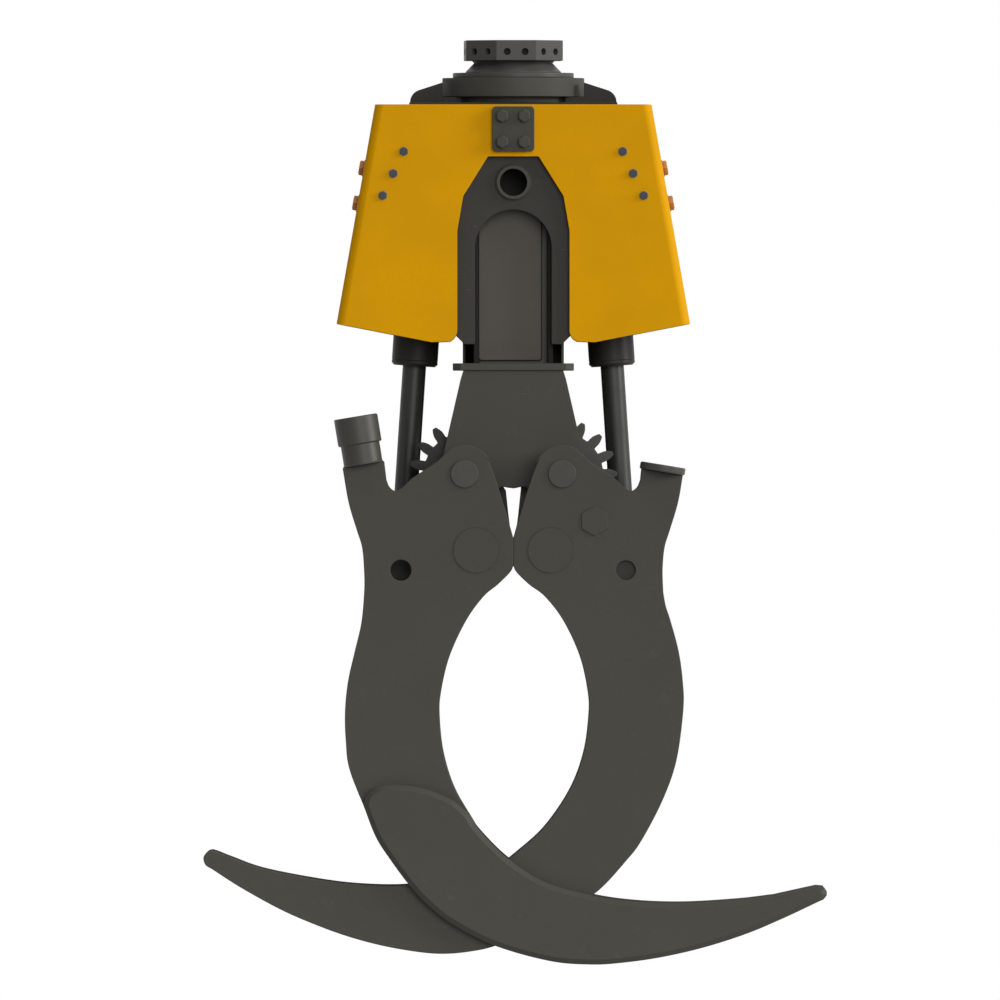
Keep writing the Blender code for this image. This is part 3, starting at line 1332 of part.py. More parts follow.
def make_rod(side, sign):
    body = side + "_rod"
    place = cylinder_place(sign)
    stop = -GLAND_END_DROP + GLAND_LENGTH + GLAND_SPIGOT + RUN
    top = stop + PISTON_LENGTH + FIT
    foot = -CYLINDER_LENGTH + ROD_EYE_RADIUS / 2
    profile = [
        (0, top), (PISTON_NECK_RADIUS, top), (PISTON_NECK_RADIUS, stop - FIT),
        (ROD_RADIUS, stop - FIT), (ROD_RADIUS, foot), (0, foot),
    ]
    rod = finish(body, turned_mesh(body, profile, PIN_STEPS), "rod_steel", body, place)
    end = place @ Matrix.Translation((0, 0, -CYLINDER_LENGTH)) @ ALONG_Y
    eye = cylinder_mesh("eye", ROD_EYE_RADIUS, ROD_EYE_WIDTH, PIN_STEPS)
    combine(rod, as_cutter(side + "_rod_eye", eye, end), "UNION")
    bore = cylinder_mesh("bore", ROD_PIN_RADIUS + TURN_FIT, ROD_EYE_WIDTH + OVERRUN, PIN_STEPS)
    combine(rod, as_cutter(side + "_rod_bore", bore, end), "DIFFERENCE")
    radius = BARREL_BORE_RADIUS - FIT
    profile = tube_profile(radius, PISTON_NECK_RADIUS + FIT, stop, stop + PISTON_LENGTH, RUN)
    name = side + "_piston"
    finish(name, turned_mesh(name, profile, PIN_STEPS), "rod_steel", body, place)


def make_grapple():
    make_head_block()
    make_swivel_shaft()
    make_rings()
    make_deck()
    make_arch_plates()
    make_boss_tube()
    make_column()
    make_side_plates()
    make_flange()
    make_frame_plates()
    make_frame_core()
    make_guard()
    make_clamps()
    make_guard_brackets()
    for side, sign in SIDES.items():
        make_arm_plates(side, sign)
        make_gear_plates(side, sign)
        make_arm_shafts(side, sign)
        make_arm_web(side, sign)
        make_cross_tubes(side, sign)
        make_barrel(side, sign)
        make_gland(side, sign)
        make_rod(side, sign)
    make_left_tines()
    make_bumpers()
    make_stop_discs()


make_grapple()
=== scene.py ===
"""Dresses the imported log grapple: finer plates, turned pieces, bolts and painted, worn surfaces."""

import math

import bmesh
import bpy
from mathutils import Matrix, Vector


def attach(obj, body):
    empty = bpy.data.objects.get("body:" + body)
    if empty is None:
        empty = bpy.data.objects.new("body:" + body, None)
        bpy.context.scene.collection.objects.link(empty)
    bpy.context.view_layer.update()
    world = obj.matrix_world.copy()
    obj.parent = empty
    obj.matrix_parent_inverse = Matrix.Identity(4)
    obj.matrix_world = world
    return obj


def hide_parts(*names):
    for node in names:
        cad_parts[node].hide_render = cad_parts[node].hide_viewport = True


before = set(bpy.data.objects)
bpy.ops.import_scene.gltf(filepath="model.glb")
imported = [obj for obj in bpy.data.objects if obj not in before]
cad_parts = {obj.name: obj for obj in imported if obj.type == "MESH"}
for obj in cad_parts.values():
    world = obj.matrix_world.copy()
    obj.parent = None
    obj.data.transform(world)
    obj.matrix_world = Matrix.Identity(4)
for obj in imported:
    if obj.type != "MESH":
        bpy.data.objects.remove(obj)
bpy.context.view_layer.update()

# Sizes of the grapple, in metres
FIT = 0.0003                    # gap between neighbours
TURN_FIT = 0.0007               # gap round a piece that turns
SEAT = 0.0007                   # how far a plate grips a pin that turns with it
BITE = 0.001                    # how far a welded piece reaches into its carrier
EASE = 0.0012                   # rounding of a plate's rim
HEAD_FLATS, HEAD_HEIGHT, HEAD_TURN = 0.194, 0.041, math.radians(3.4)
PORT_RADIUS, PORT_DEPTH, PORT_SPACING, PORT_DROP = 0.007, 0.014, 0.036, 0.023
PORT_MOUTH, PORT_MOUTH_DEPTH, PORT_FLOOR, PORT_FLOOR_DROP = 0.00945, 0.003, 0.0066, 0.0125
NECK_TOP, NECK_WAIST, NECK_DROP = 0.083, 0.0785, 0.0455
CONE, CONE_LIP, CONE_DROP = 0.0886, 0.0955, 0.0628
SHAFT_FLANGE, SHAFT_FLANGE_HEIGHT, SPIGOT = 0.105, 0.025, 0.058
RETAINER, RETAINER_TOP, RETAINER_HEIGHT = 0.121, 0.065, 0.010
RING, RING_HEIGHT, BASE_RING, BASE_RING_HEIGHT = 0.142, 0.038, 0.118, 0.0115
DECK_WIDTH, DECK_HEIGHT, DECK_RIM, DECK_CLEARANCE = 0.416, 0.020, 0.001, 0.002
SHOULDER_HEIGHT, SHOULDER_THICKNESS, SHOULDER_SPREAD, SHOULDER_NOSE = 0.0415, 0.020, 0.140, 0.028
PLATE, HALF_FRAME = 0.020, 0.138
ARCH_WIDTH, ARCH_FOOT_DROP, ARCH_FOOT_CUT = 0.230, 0.608, 0.018
ARCH_GAP, ARCH_GAP_DROP = 0.1528, 0.339
BOSS_DROP, BOSS, BOSS_BORE, BOSS_PROUD, BOSS_WALL = 0.2848, 0.0338, 0.0272, 0.008, 0.012
COLUMN_WIDTH, COLUMN_DEPTH, COLUMN_WALL, COLUMN_DROP = 0.140, 0.188, 0.010, 0.330
COVER_WIDTH, COVER_HEIGHT, COVER_CORNER = 0.124, 0.306, 0.006
COVER_INSET, COVER_PLATE, SHADE_LINE_WIDTH = 0.0014, 0.006, 0.0020
FLANK_PLATE, LEG_WEB, LEG_WEB_INSET, LEG_WEB_DROP = 0.010, 0.005, 0.014, 0.300
FLANGE_DROP, FLANGE_HEIGHT = 0.646, 0.0142
FLANGE_WIDTH, FLANGE_DEPTH, FLANGE_CUT = 0.242, 0.284, 0.016
FRAME_TOP_WIDTH, FRAME_SHOULDER_WIDTH, FRAME_SHOULDER_DROP = 0.200, 0.211, 0.018
FRAME_HEEL, FRAME_THROAT, FRAME_SAG = 0.050, 0.040, 0.004
CORE_WIDTH, CORE_HEIGHT, CORE_WALL = 0.088, 0.096, 0.012
PIVOT_SPACING, PIVOT_DROP = 0.195, 0.867
PIVOT_PIN, PIVOT_PROUD, PIVOT_BOSS, SLEEVE = 0.028, 0.004, 0.050, 0.040
TEETH_ROUND, TEETH_CUT, ADDENDUM, DEDENDUM, BACKLASH = 16, 9, 0.0120, 0.0155, 0.0014
PRESSURE_ANGLE = math.radians(20)
GEAR_INNER, GEAR_OUTER = 0.076, 0.104
ROD_PIN_OUT, ROD_PIN_DROP, ROD_PIN, ROD_BOSS, ROD_PIN_PROUD = 0.127, 0.192, 0.020, 0.052, 0.004
ACCESS_HOLE, COLLAR = 0.0208, 0.031
TUBE_IN, TUBE_DROP, TUBE, TUBE_PROUD, TUBE_BOSS = 0.0232, 0.1524, 0.045, 0.0015, 0.062
ARM_WIDTH, ARM_HEIGHT, ARM_TOUCH_GAP, LOBE = 0.3366, 0.979, 0.0001, 0.0576
PLATE_INNER, LEFT_OUTER, RIGHT_OUTER = 0.179, 0.212, 0.209
TINE_INNER_FACE, TINE_OUTER_FACE, TINE_BEVEL = 0.2123, 0.2373, 0.010
WEB_THICKNESS, WEB_INSET, CROSS_TUBE, SPREADER = 0.012, 0.012, 0.036, 0.018
HORN_TILT = math.radians(9.3)
BUMPER_NECK, BUMPER_NECK_HEIGHT, BUMPER_CAP, BUMPER_CAP_HEIGHT = 0.0385, 0.042, 0.0434, 0.055
STOP_DISC, STOP_DISC_HEIGHT = 0.045, 0.015
PLUG_FLATS, PLUG_PROUD, PLUG_OUT, PLUG_DROP = 0.052, 0.003, 0.065, 0.094
TOP_PIN_OUT, TOP_PIN_DROP, TOP_PIN = 0.1695, 0.222, 0.020
TOP_EYE_BORE, TOP_EYE, TOP_EYE_WIDTH = 0.039, 0.051, 0.090
LUG_GAP, LUG_THICKNESS, LUG_NOSE = 0.116, 0.022, 0.042
BARREL, BARREL_BORE, BARREL_HEAD_DROP = 0.044, 0.038, 0.078
GLAND, GLAND_END, GLAND_LENGTH, GLAND_SPIGOT, GLAND_CUT = 0.046, 0.430, 0.075, 0.018, 0.005
ROD, ROD_EYE, ROD_EYE_WIDTH, PISTON_LENGTH, PISTON_NECK = 0.0235, 0.042, 0.070, 0.036, 0.015
GUARD_SHEET, GUARD_OUTER, GUARD_BEND = 0.006, 0.150, 0.018
GUARD_TOP, GUARD_FOOT_DROP, GUARD_FOOT = 0.129, 0.604, 0.024
GUARD_SLANT_RISE, GUARD_SLANT_END = 0.037, 0.163
GUARD_TOP_WIDTH, GUARD_LOW_WIDTH, SHELL_GAP = 0.552, 0.706, 0.004
CUT_WIDTH, CUT_WAIST = 0.224, 0.381
CUT_NECK, CUT_NECK_WIDTH, CUT_TOP, CUT_TOP_WIDTH = 0.312, 0.200, 0.233, 0.101
CLAMP_WIDTH, CLAMP_HEIGHT, CLAMP_TOP, CLAMP_PLATE, CLAMP_CORNER = 0.084, 0.090, 0.133, 0.010, 0.008
CLAMP_X, CLAMP_Z, CLAMP_FLATS, CLAMP_HEX = 0.044, 0.052, 0.023, 0.010
SCREWS, SCREW_OUT, SCREW_DROP, SCREW_STEP_OUT, SCREW_STEP_DROP = 3, 0.2186, 0.223, 0.021, 0.044
SCREW_FLATS, SCREW_HEIGHT, SCREW_WASHER, SCREW_WASHER_HEIGHT = 0.0150, 0.005, 0.0094, 0.0012
SIDE_SCREWS, SIDE_SCREW_DROP, SIDE_SCREW_STEP, SIDE_SCREW_Y = 2, 0.256, 0.070, 0.070
SIDE_FLATS, SIDE_HEX = 0.02856, 0.010

# Shares of the arm's size, outward from the middle and down from the pivots
HORN_OUTER = (1.012, -0.0118)
HORN_INNER = (0.768, -0.0260)
HORN_VALLEY = ((0.7546, 0.0120), (0.735, 0.0270), (0.699, 0.0345), (0.655, 0.0270))
HORN_RISE = ((0.600, 0.0085), (0.452, -0.0250))
ARM_OUTER = (
    (0.976, 0.059), (0.927, 0.1154), (0.8965, 0.150), (0.885, 0.195), (0.884, 0.238),
    (0.901, 0.303), (0.9395, 0.3606), (0.9796, 0.4219), (0.9976, 0.4831), (0.993, 0.5444),
    (0.9681, 0.6057), (0.850, 0.707), (0.739, 0.788),
)
THROAT = ((0.160, -0.036), (0.109, 0.007), (0.034, 0.089), (0.000, 0.130))
LEFT_INNER = (
    (0.000, 0.188), (0.021, 0.2012), (0.093, 0.2257), (0.1773, 0.2503), (0.2801, 0.2993),
    (0.3789, 0.3728), (0.4299, 0.4464), (0.4375, 0.4954), (0.414, 0.5689), (0.3466, 0.6425),
    (0.2229, 0.716),
)
RIGHT_INNER = (
    (0.000, 0.188), (0.021, 0.2012), (0.0944, 0.2257), (0.1877, 0.2503), (0.2963, 0.2993),
    (0.3953, 0.3728), (0.4428, 0.4464), (0.4459, 0.4954), (0.4155, 0.5689), (0.3362, 0.6425),
    (0.1935, 0.716), (0.0427, 0.7651),
)
LEFT_END = ((0.180, 0.742), (0.745, 0.772))
RIGHT_UPPER = (
    (-0.140, 0.811), (-0.317, 0.8265), (-0.633, 0.8387), (-0.895, 0.8378), (-1.146, 0.828),
    (-1.483, 0.8055), (-1.696, 0.7796),
)
RIGHT_TIP = (
    (-1.773, 0.7692), (-1.806, 0.7692), (-1.8322, 0.7773), (-1.8366, 0.7865), (-1.8223, 0.7978),
    (-1.7844, 0.8059),
)
RIGHT_LOWER = (
    (-1.621, 0.842), (-1.396, 0.885), (-1.208, 0.914), (-0.996, 0.941), (-0.783, 0.961),
    (-0.570, 0.974), (-0.421, 0.978), (-0.270, 0.974), (-0.109, 0.962), (0.099, 0.931),
    (0.300, 0.894), (0.503, 0.8495), (0.670, 0.788), (0.759, 0.7475), (0.8835, 0.666),
    (0.967, 0.584), (1.008, 0.480), (1.0044, 0.4219), (0.9797, 0.3606), (0.9321, 0.2993),
    (0.9034, 0.2686), (0.8885, 0.240),
)
TINE_OUTER = (
    (0.889, 0.675), (0.816, 0.739), (0.733, 0.784), (0.614, 0.839), (0.495, 0.882),
    (0.352, 0.919), (0.103, 0.962), (-0.218, 0.9926), (-0.456, 0.9996), (-0.638, 0.9963),
    (-0.872, 0.985), (-1.1266, 0.965), (-1.381, 0.937), (-1.602, 0.905), (-1.8102, 0.8713),
)
TINE_TIP = (
    (-1.8375, 0.8672), (-1.8576, 0.859), (-1.8582, 0.8509), (-1.8439, 0.8427), (-1.800, 0.8410),
)
TINE_INNER = (
    (-1.549, 0.860), (-1.339, 0.8685), (-1.020, 0.875), (-0.734, 0.872), (-0.4736, 0.8594),
    (-0.190, 0.832), (0.031, 0.784), (0.198, 0.727), (0.275, 0.690), (0.352, 0.666),
)
TINE_HEEL = ((0.495, 0.645), (0.590, 0.637), (0.697, 0.634), (0.792, 0.637), (0.862, 0.651))
GEAR_EDGE = ((0.0196, 0.107), (0.029, 0.0817), (0.0435, 0.0337))
CROSS_TUBE_AT = (0.575, 0.690)
SPREADER_AT = (-1.030, 0.885)
WEB_RANGE = (0.300, 0.730)

# What follows from the sizes
RING_TOP = RETAINER_TOP + RETAINER_HEIGHT + FIT
DECK_TOP = RING_TOP + RING_HEIGHT + BASE_RING_HEIGHT + FIT
DECK_LOW = DECK_TOP + DECK_HEIGHT
FRAME_TOP = FLANGE_DROP + FLANGE_HEIGHT + FIT
FRAME_INNER = HALF_FRAME - PLATE
GUARD_INNER = GUARD_OUTER - GUARD_SHEET
GUARD_SIDE_DROP = GUARD_FOOT_DROP - GUARD_SLANT_RISE
PIVOT_X = PIVOT_SPACING / 2
ROD_PIN_X = PIVOT_X + ROD_PIN_OUT
ROD_PIN_Z = PIVOT_DROP + ROD_PIN_DROP
LEAN = math.atan2(ROD_PIN_X - TOP_PIN_OUT, ROD_PIN_Z - TOP_PIN_DROP)
CYLINDER_LENGTH = math.hypot(ROD_PIN_X - TOP_PIN_OUT, ROD_PIN_Z - TOP_PIN_DROP)
GUARD_SLOPE = math.atan2((GUARD_LOW_WIDTH - GUARD_TOP_WIDTH) / 2, GUARD_SIDE_DROP - GUARD_TOP)
SIDES = {"left": -1, "right": 1}
ENDS = {"front": -1, "rear": 1}
FINE = 8                        # points of a smooth edge between two shares
ROUND = 96                      # facets of a large turned piece
ROUND_PIN = 64                  # facets of a smaller one
WELD = 0.00001                  # distance at which doubled points are merged
SHARP = 35                      # degrees from which an edge between two faces stays sharp


# Places
def move(offset):
    return Matrix.Translation(offset)


def about(axis, angle):
    return Matrix.Rotation(angle, 4, axis)


ALONG_Y = about("X", -math.pi / 2)
UPRIGHT = about("X", math.pi / 2)


# Shader nodes
class Value:
    """A node's output that takes part in arithmetic; each operation adds its Math node."""

    def __init__(self, shade, socket):
        self.shade = shade
        self.socket = socket

    def maths(self, operation, first, second):
        return self.shade.node(
            "ShaderNodeMath", {"operation": operation}, {0: first, 1: second}
        )

    def __add__(self, other):
        return self.maths("ADD", self, other)

    def __sub__(self, other):
        return self.maths("SUBTRACT", self, other)

    def __rsub__(self, other):
        return self.maths("SUBTRACT", other, self)

    def __mul__(self, other):
        return self.maths("MULTIPLY", self, other)

    __radd__ = __add__
    __rmul__ = __mul__

    def spread(self, low, high):
        """Nought below low, one above high and even between."""
        settings = {"interpolation_type": "SMOOTHSTEP"}
        return self.shade.node("ShaderNodeMapRange", settings, {"Value": self, 1: low, 2: high})


class Shade:
    """One material, with its shader and the object's own coordinates."""

    def __init__(self, name, roughness, metallic=0.0, specular=0.3):
        self.material = bpy.data.materials.new(name)
        self.material.use_nodes = True
        self.tree = self.material.node_tree
        self.shader = self.tree.nodes["Principled BSDF"]
        self.shader.inputs["Roughness"].default_value = roughness
        self.shader.inputs["Metallic"].default_value = metallic
        self.shader.inputs["Specular IOR Level"].default_value = specular
        self.place = self.node("ShaderNodeTexCoord", out="Object")

    def node(self, kind, settings=None, inputs=None, out=0):
        made = self.tree.nodes.new(kind)
        for key, value in (settings or {}).items():
            setattr(made, key, value)
        for key, value in (inputs or {}).items():
            self.feed(made.inputs[key], value)
        return Value(self, made.outputs[out])

    def feed(self, socket, value):
        if isinstance(value, Value):
            self.tree.links.new(value.socket, socket)
        else:
            socket.default_value = value

    def noise(self, scale, detail=3.0, rough=0.5, stretch=(1, 1, 1)):
        spot = self.node("ShaderNodeMapping", None, {"Vector": self.place, "Scale": stretch})
        inputs = {"Vector": spot, "Scale": scale, "Detail": detail, "Roughness": rough}
        return self.node("ShaderNodeTexNoise", None, inputs)

    def mix(self, share, first, second):
        inputs = {0: share, 6: first, 7: second}
        return self.node("ShaderNodeMix", {"data_type": "RGBA"}, inputs, 2)

    def bump(self, height, strength, distance):
        inputs = {"Strength": strength, "Distance": distance, "Height": height}
        self.feed(self.shader.inputs["Normal"], self.node("ShaderNodeBump", None, inputs))

    def colour(self, value):
        self.feed(self.shader.inputs["Base Color"], value)

    def roughness(self, value):
        self.feed(self.shader.inputs["Roughness"], value)


def tone(colour, factor):
    return tuple(min(1.0, part * factor) for part in colour) + (1.0,)


def paint(name, colour, roughness, bare=(0.11, 0.107, 0.098), scuffed=0.25, specular=0.10):
    """Sprayed paint: faint clouds, orange peel and a few rubbed spots where metal shows."""
    shade = Shade(name, roughness, specular=specular)
    clouds = shade.noise(7, 4).spread(0.3, 0.7)
    grain = shade.noise(160, 2)
    base = shade.mix(clouds, tone(colour, 0.95), tone(colour, 1.05))
    base = shade.mix(grain.spread(0.35, 0.65) * 0.5, base, tone(colour, 0.97))
    dust = shade.noise(26, 6, 0.7).spread(0.60, 0.74)
    base = shade.mix(dust * (0.5 * scuffed), base, bare + (1.0,))
    scratches = shade.noise(34, 2, 0.5, (1.0, 1.0, 9.0)).spread(0.72, 0.78)
    base = shade.mix(scratches * scuffed, base, bare + (1.0,))
    shade.colour(base)
    shade.roughness(clouds * 0.06 + grain * 0.05 + dust * 0.08 + (roughness - 0.05))
    shade.bump(grain * 0.6 + shade.noise(420, 1) * 0.4 - scratches * 0.5, 0.25, 0.0006)
    return shade.material


def metal(name, colour, roughness, metallic, stretch, marks=0.4):
    """Bare or blackened steel with marks that run along the piece."""
    shade = Shade(name, roughness, metallic, specular=0.2)
    drawn = shade.noise(60, 3, 0.6, stretch).spread(0.3, 0.7)
    cloud = shade.noise(14, 4).spread(0.35, 0.65)
    base = shade.mix(drawn * marks, tone(colour, 0.86), tone(colour, 1.22))
    base = shade.mix(cloud * 0.4, base, tone(colour, 0.90))
    shade.colour(base)
    shade.roughness(drawn * 0.10 + cloud * 0.06 + (roughness - 0.06))
    shade.bump(drawn * 0.5 + shade.noise(300, 1) * 0.3, 0.15, 0.0004)
    return shade.material


LOOKS = {
    "head": paint("head_paint", (0.0475, 0.0465, 0.0420), 0.45, scuffed=0.15, specular=0.16),
    "steel": paint("dark_paint", (0.0440, 0.0425, 0.0352), 0.55),
    "housing": paint("housing_paint", (0.0475, 0.0455, 0.0380), 0.58),
    # Darker than the housing paint: painted shade, for the arch plates behind the guard and the
    # recessed right rod pin.
    "arch": paint("arch_painted_shade", (0.0325, 0.0302, 0.0264), 0.60),
    # Darker than the housing paint: painted shade for the deck and shoulder plates under the slewing
    # ring.
    "deck": paint("deck_painted_shade", (0.0240, 0.0230, 0.0200), 0.60),
    # Near black: painted shade for the flank plates and the left leg web deep in the housing.
    "inner": paint(
        "inner_painted_shade", (0.0130, 0.0125, 0.0110), 0.60, (0.045, 0.043, 0.038), 0.15, 0.06
    ),
    # Lighter than the housing paint: the cover's own tone, raised as painted light against the shade
    # the arch legs cast on the column and covers.
    "cover": paint("cover_paint_with_painted_light", (0.0700, 0.0650, 0.0545), 0.55),
    "yellow": paint("guard_paint", (0.520, 0.247, 0.0003), 0.45, (0.42, 0.195, 0.002), 0.08, 0.03),
    "cylinder": paint("cylinder_paint", (0.019, 0.018, 0.0155), 0.42, scuffed=0.15),
    "bumper": paint("bumper_paint", (0.041, 0.0395, 0.0335), 0.42, specular=0.18),
    "rod": metal("rod_chrome", (0.026, 0.026, 0.0235), 0.40, 0.12, (1.0, 1.0, 0.03), 0.3),
    "pin": metal("pin_steel", (0.0390, 0.0375, 0.0322), 0.50, 0.10, (1.0, 0.05, 1.0), 0.2),
    "slate": metal("bolt_slate", (0.030, 0.033, 0.040), 0.42, 0.40, (1.0, 1.0, 1.0)),
    "washer": metal("washer_zinc", (0.200, 0.150, 0.080), 0.45, 0.30, (1.0, 1.0, 1.0)),
    "copper": metal("bolt_copper", (0.40, 0.165, 0.045), 0.42, 0.25, (1.0, 1.0, 1.0)),
    # A darker copy of the gear steel: painted shade on the left gear sectors.
    "gear_in_painted_shade": metal("gear_steel_painted_shade", (0.017, 0.016, 0.014), 0.50, 0.10, (1.0, 0.1, 1.0), 0.3),
    "gear": metal("gear_steel", (0.043, 0.041, 0.035), 0.50, 0.15, (1.0, 0.1, 1.0), 0.3),
    # Near black: painted shade in the port bores and along the covers' edges.
    "dark": paint("recess_painted_shade", (0.010, 0.010, 0.009), 0.60, (0.03, 0.03, 0.03), 0.05),
}


# Outlines in the XZ plane
def circle(centre, radius, steps=64):
    turn = 2 * math.pi / steps
    return [
        (centre[0] + radius * math.cos(turn * i), centre[1] + radius * math.sin(turn * i))
        for i in range(steps)
    ]


def arc(centre, radius, first, last, count=24):
    points = []
    for i in range(count + 1):
        angle = math.radians(first + (last - first) * i / count)
        points.append((centre[0] + radius * math.cos(angle), centre[1] + radius * math.sin(angle)))
    return points


def smooth(points, count=FINE):
    line = [Vector(p) for p in points]
    ends = [2 * line[0] - line[1]] + line + [2 * line[-1] - line[-2]]
    edge = []
    for before, here, there, after in zip(ends, ends[1:], ends[2:], ends[3:]):
        for i in range(count):
            t = i / count
            edge.append(
                here
                + (there - before) * (t / 2)
                + (2 * before - 5 * here + 4 * there - after) * (t * t / 2)
                + (3 * here - before - 3 * there + after) * (t * t * t / 2)
            )
    edge.append(line[-1])
    return [(p.x, p.y) for p in edge]


def rectangle(x_low, x_high, z_low, z_high, corner=0.0):
    if corner == 0.0:
        return [(x_low, z_low), (x_high, z_low), (x_high, z_high), (x_low, z_high)]
    left, right = x_low + corner, x_high - corner
    low, high = z_low + corner, z_high - corner
    points = []
    for i, centre in enumerate(((right, low), (right, high), (left, high), (left, low))):
        points += arc(centre, corner, 90 * i - 90, 90 * i, 8)
    return points


def mirrored(points, sign=-1):
    return list(points) if sign > 0 else [(-x, z) for x, z in reversed(points)]


def eased(points, radius, closed=True, least=20.0):
    """The same corners, each sharper than the least angle rounded off."""
    line = [Vector(p) for p in points]
    made = []
    for i, here in enumerate(line):
        if not closed and i in (0, len(line) - 1):
            made.append(here)
            continue
        back = line[i - 1] - here
        ahead = line[(i + 1) % len(line)] - here
        if back.length == 0 or ahead.length == 0:
            made.append(here)
            continue
        turn = 180 - math.degrees(back.angle(ahead))
        if turn < least:
            made.append(here)
            continue
        longest = 0.45 * min(back.length, ahead.length)
        reach = min(radius * math.tan(math.radians(turn / 2)), longest)
        first = here + back.normalized() * reach
        last = here + ahead.normalized() * reach
        for j in range(5):
            t = j / 4
            made.append(first * (1 - t) ** 2 + here * (2 * t * (1 - t)) + last * t * t)
    return [(p.x, p.y) for p in made]


def area(outline):
    total = 0.0
    for (x, z), (u, w) in zip(outline, outline[1:] + outline[:1]):
        total += x * w - u * z
    return total / 2


# Meshes
def clean(mesh, angle=SHARP):
    """The mesh with doubled points merged and its edges smooth or sharp."""
    body = bmesh.new()
    body.from_mesh(mesh)
    bmesh.ops.remove_doubles(body, verts=body.verts, dist=WELD)
    body.to_mesh(mesh)
    body.free()
    mesh.shade_smooth()
    mesh.set_sharp_from_angle(angle=math.radians(angle))
    return mesh


def solid(body, place=None):
    """The clean mesh of a bmesh, put in its place."""
    mesh = bpy.data.meshes.new("solid")
    body.to_mesh(mesh)
    body.free()
    if place is not None:
        mesh.transform(place)
    return clean(mesh)


def baked(holder):
    """The mesh of a helper with its modifiers applied; the helper goes."""
    bpy.context.view_layer.update()
    graph = bpy.context.evaluated_depsgraph_get()
    mesh = bpy.data.meshes.new_from_object(holder.evaluated_get(graph))
    bpy.data.objects.remove(holder, do_unlink=True)
    return mesh


def linked(name, data):
    made = bpy.data.objects.new(name, data)
    bpy.context.scene.collection.objects.link(made)
    return made


def slab(outlines, low, high, ease=EASE, place=UPRIGHT, rim_steps=1):
    """A plate between two depths with its rims rounded, drawn as a filled flat curve."""
    curve = bpy.data.curves.new("slab", "CURVE")
    curve.dimensions = "2D"
    curve.fill_mode = "BOTH"
    curve.extrude = (high - low) / 2 - ease
    curve.bevel_depth = ease
    curve.bevel_resolution = rim_steps
    curve.offset = -ease
    for i, outline in enumerate(outlines):
        points = list(outline)
        if (area(points) > 0) != (i == 0):
            points.reverse()
        line = curve.splines.new("POLY")
        line.points.add(len(points) - 1)
        for point, (x, y) in zip(line.points, points):
            point.co = (x, y, 0, 1)
        line.use_cyclic_u = True
    mesh = baked(linked("plate", curve))
    middle = move((0, (low + high) / 2, 0)) if place is UPRIGHT else Matrix()
    mesh.transform(middle @ place)
    return clean(mesh)


def turned(profile, place=None, steps=ROUND, ease=0.0008):
    """A profile of (radius, height) spun once round its own Z."""
    closed = profile[0][0] > 0
    points = eased(profile, ease, closed) if ease else profile
    body = bmesh.new()
    rings = []
    for radius, height in points:
        if radius > 0:
            ring = circle((0, 0), radius, steps)
            rings.append([body.verts.new((x, y, height)) for x, y in ring])
        else:
            rings.append([body.verts.new((0, 0, height))] * steps)
    for above, below in zip(rings, rings[1:] + rings[:closed]):
        for i in range(steps):
            corners = above[i - 1], above[i], below[i], below[i - 1]
            body.faces.new(tuple(dict.fromkeys(corners)))
    bmesh.ops.remove_doubles(body, verts=body.verts, dist=WELD)
    bmesh.ops.recalc_face_normals(body, faces=body.faces)
    return solid(body, place)


def disc(radius, height, place, steps=ROUND, ease=0.0008):
    """A round solid that stands on its place."""
    return turned([(0, height), (radius, height), (radius, 0), (0, 0)], place, steps, ease)


def bar(radius, reach, place, steps=ROUND, ease=0.0008):
    """A round solid with its middle at its place."""
    return turned([(0, reach), (radius, reach), (radius, -reach), (0, -reach)], place, steps, ease)


def collar(radius, bore, low, high, place=None, steps=ROUND_PIN, ease=0.0008):
    """A ring between two heights."""
    return turned([(radius, high), (radius, low), (bore, low), (bore, high)], place, steps, ease)


def block(size, place, ease=EASE):
    body = bmesh.new()
    bmesh.ops.create_cube(body, size=1)
    bmesh.ops.transform(body, matrix=Matrix.Diagonal((*size, 1)), verts=body.verts)
    bmesh.ops.bevel(
        body, geom=body.edges[:], offset=ease, affect="EDGES", segments=2, profile=0.5, material=-1
    )
    return solid(body, place)


def joined(meshes):
    """One mesh that holds them all."""
    body = bmesh.new()
    for mesh in meshes:
        body.from_mesh(mesh)
    merged = bpy.data.meshes.new("joined")
    body.to_mesh(merged)
    body.free()
    merged.shade_smooth()
    merged.set_sharp_from_angle(angle=math.radians(SHARP))
    return merged


def carved(mesh, tools, operation="DIFFERENCE"):
    """The mesh with the tools cut from it, or joined to it by a UNION."""
    holder = linked("carved", mesh)
    others = []
    for tool in tools:
        other = linked("tool", tool)
        change = holder.modifiers.new("change", "BOOLEAN")
        change.operation = operation
        change.solver = "EXACT"
        change.object = other
        others.append(other)
    result = baked(holder)
    for other in others:
        bpy.data.objects.remove(other, do_unlink=True)
    return clean(result)


def drill(radius, length, place):
    """A plain round cutter."""
    body = bmesh.new()
    bmesh.ops.create_cone(
        body, cap_ends=True, segments=48, radius1=radius, radius2=radius, depth=length
    )
    mesh = bpy.data.meshes.new("drill")
    body.to_mesh(mesh)
    body.free()
    mesh.transform(place)
    return mesh


def hexagon(flats, height, place, ease=0.0012):
    """A hexagon head standing on its own XY plane, its top corners turned off."""
    body = bmesh.new()
    radius = flats / 2 / math.cos(math.pi / 6)
    bmesh.ops.create_cone(
        body, cap_ends=True, segments=6, radius1=radius, radius2=radius, depth=height
    )
    bmesh.ops.translate(body, verts=body.verts, vec=(0, 0, height / 2))
    bmesh.ops.bevel(
        body, geom=body.edges[:], offset=ease, affect="EDGES", segments=3, profile=0.5, material=-1
    )
    return solid(body, place)


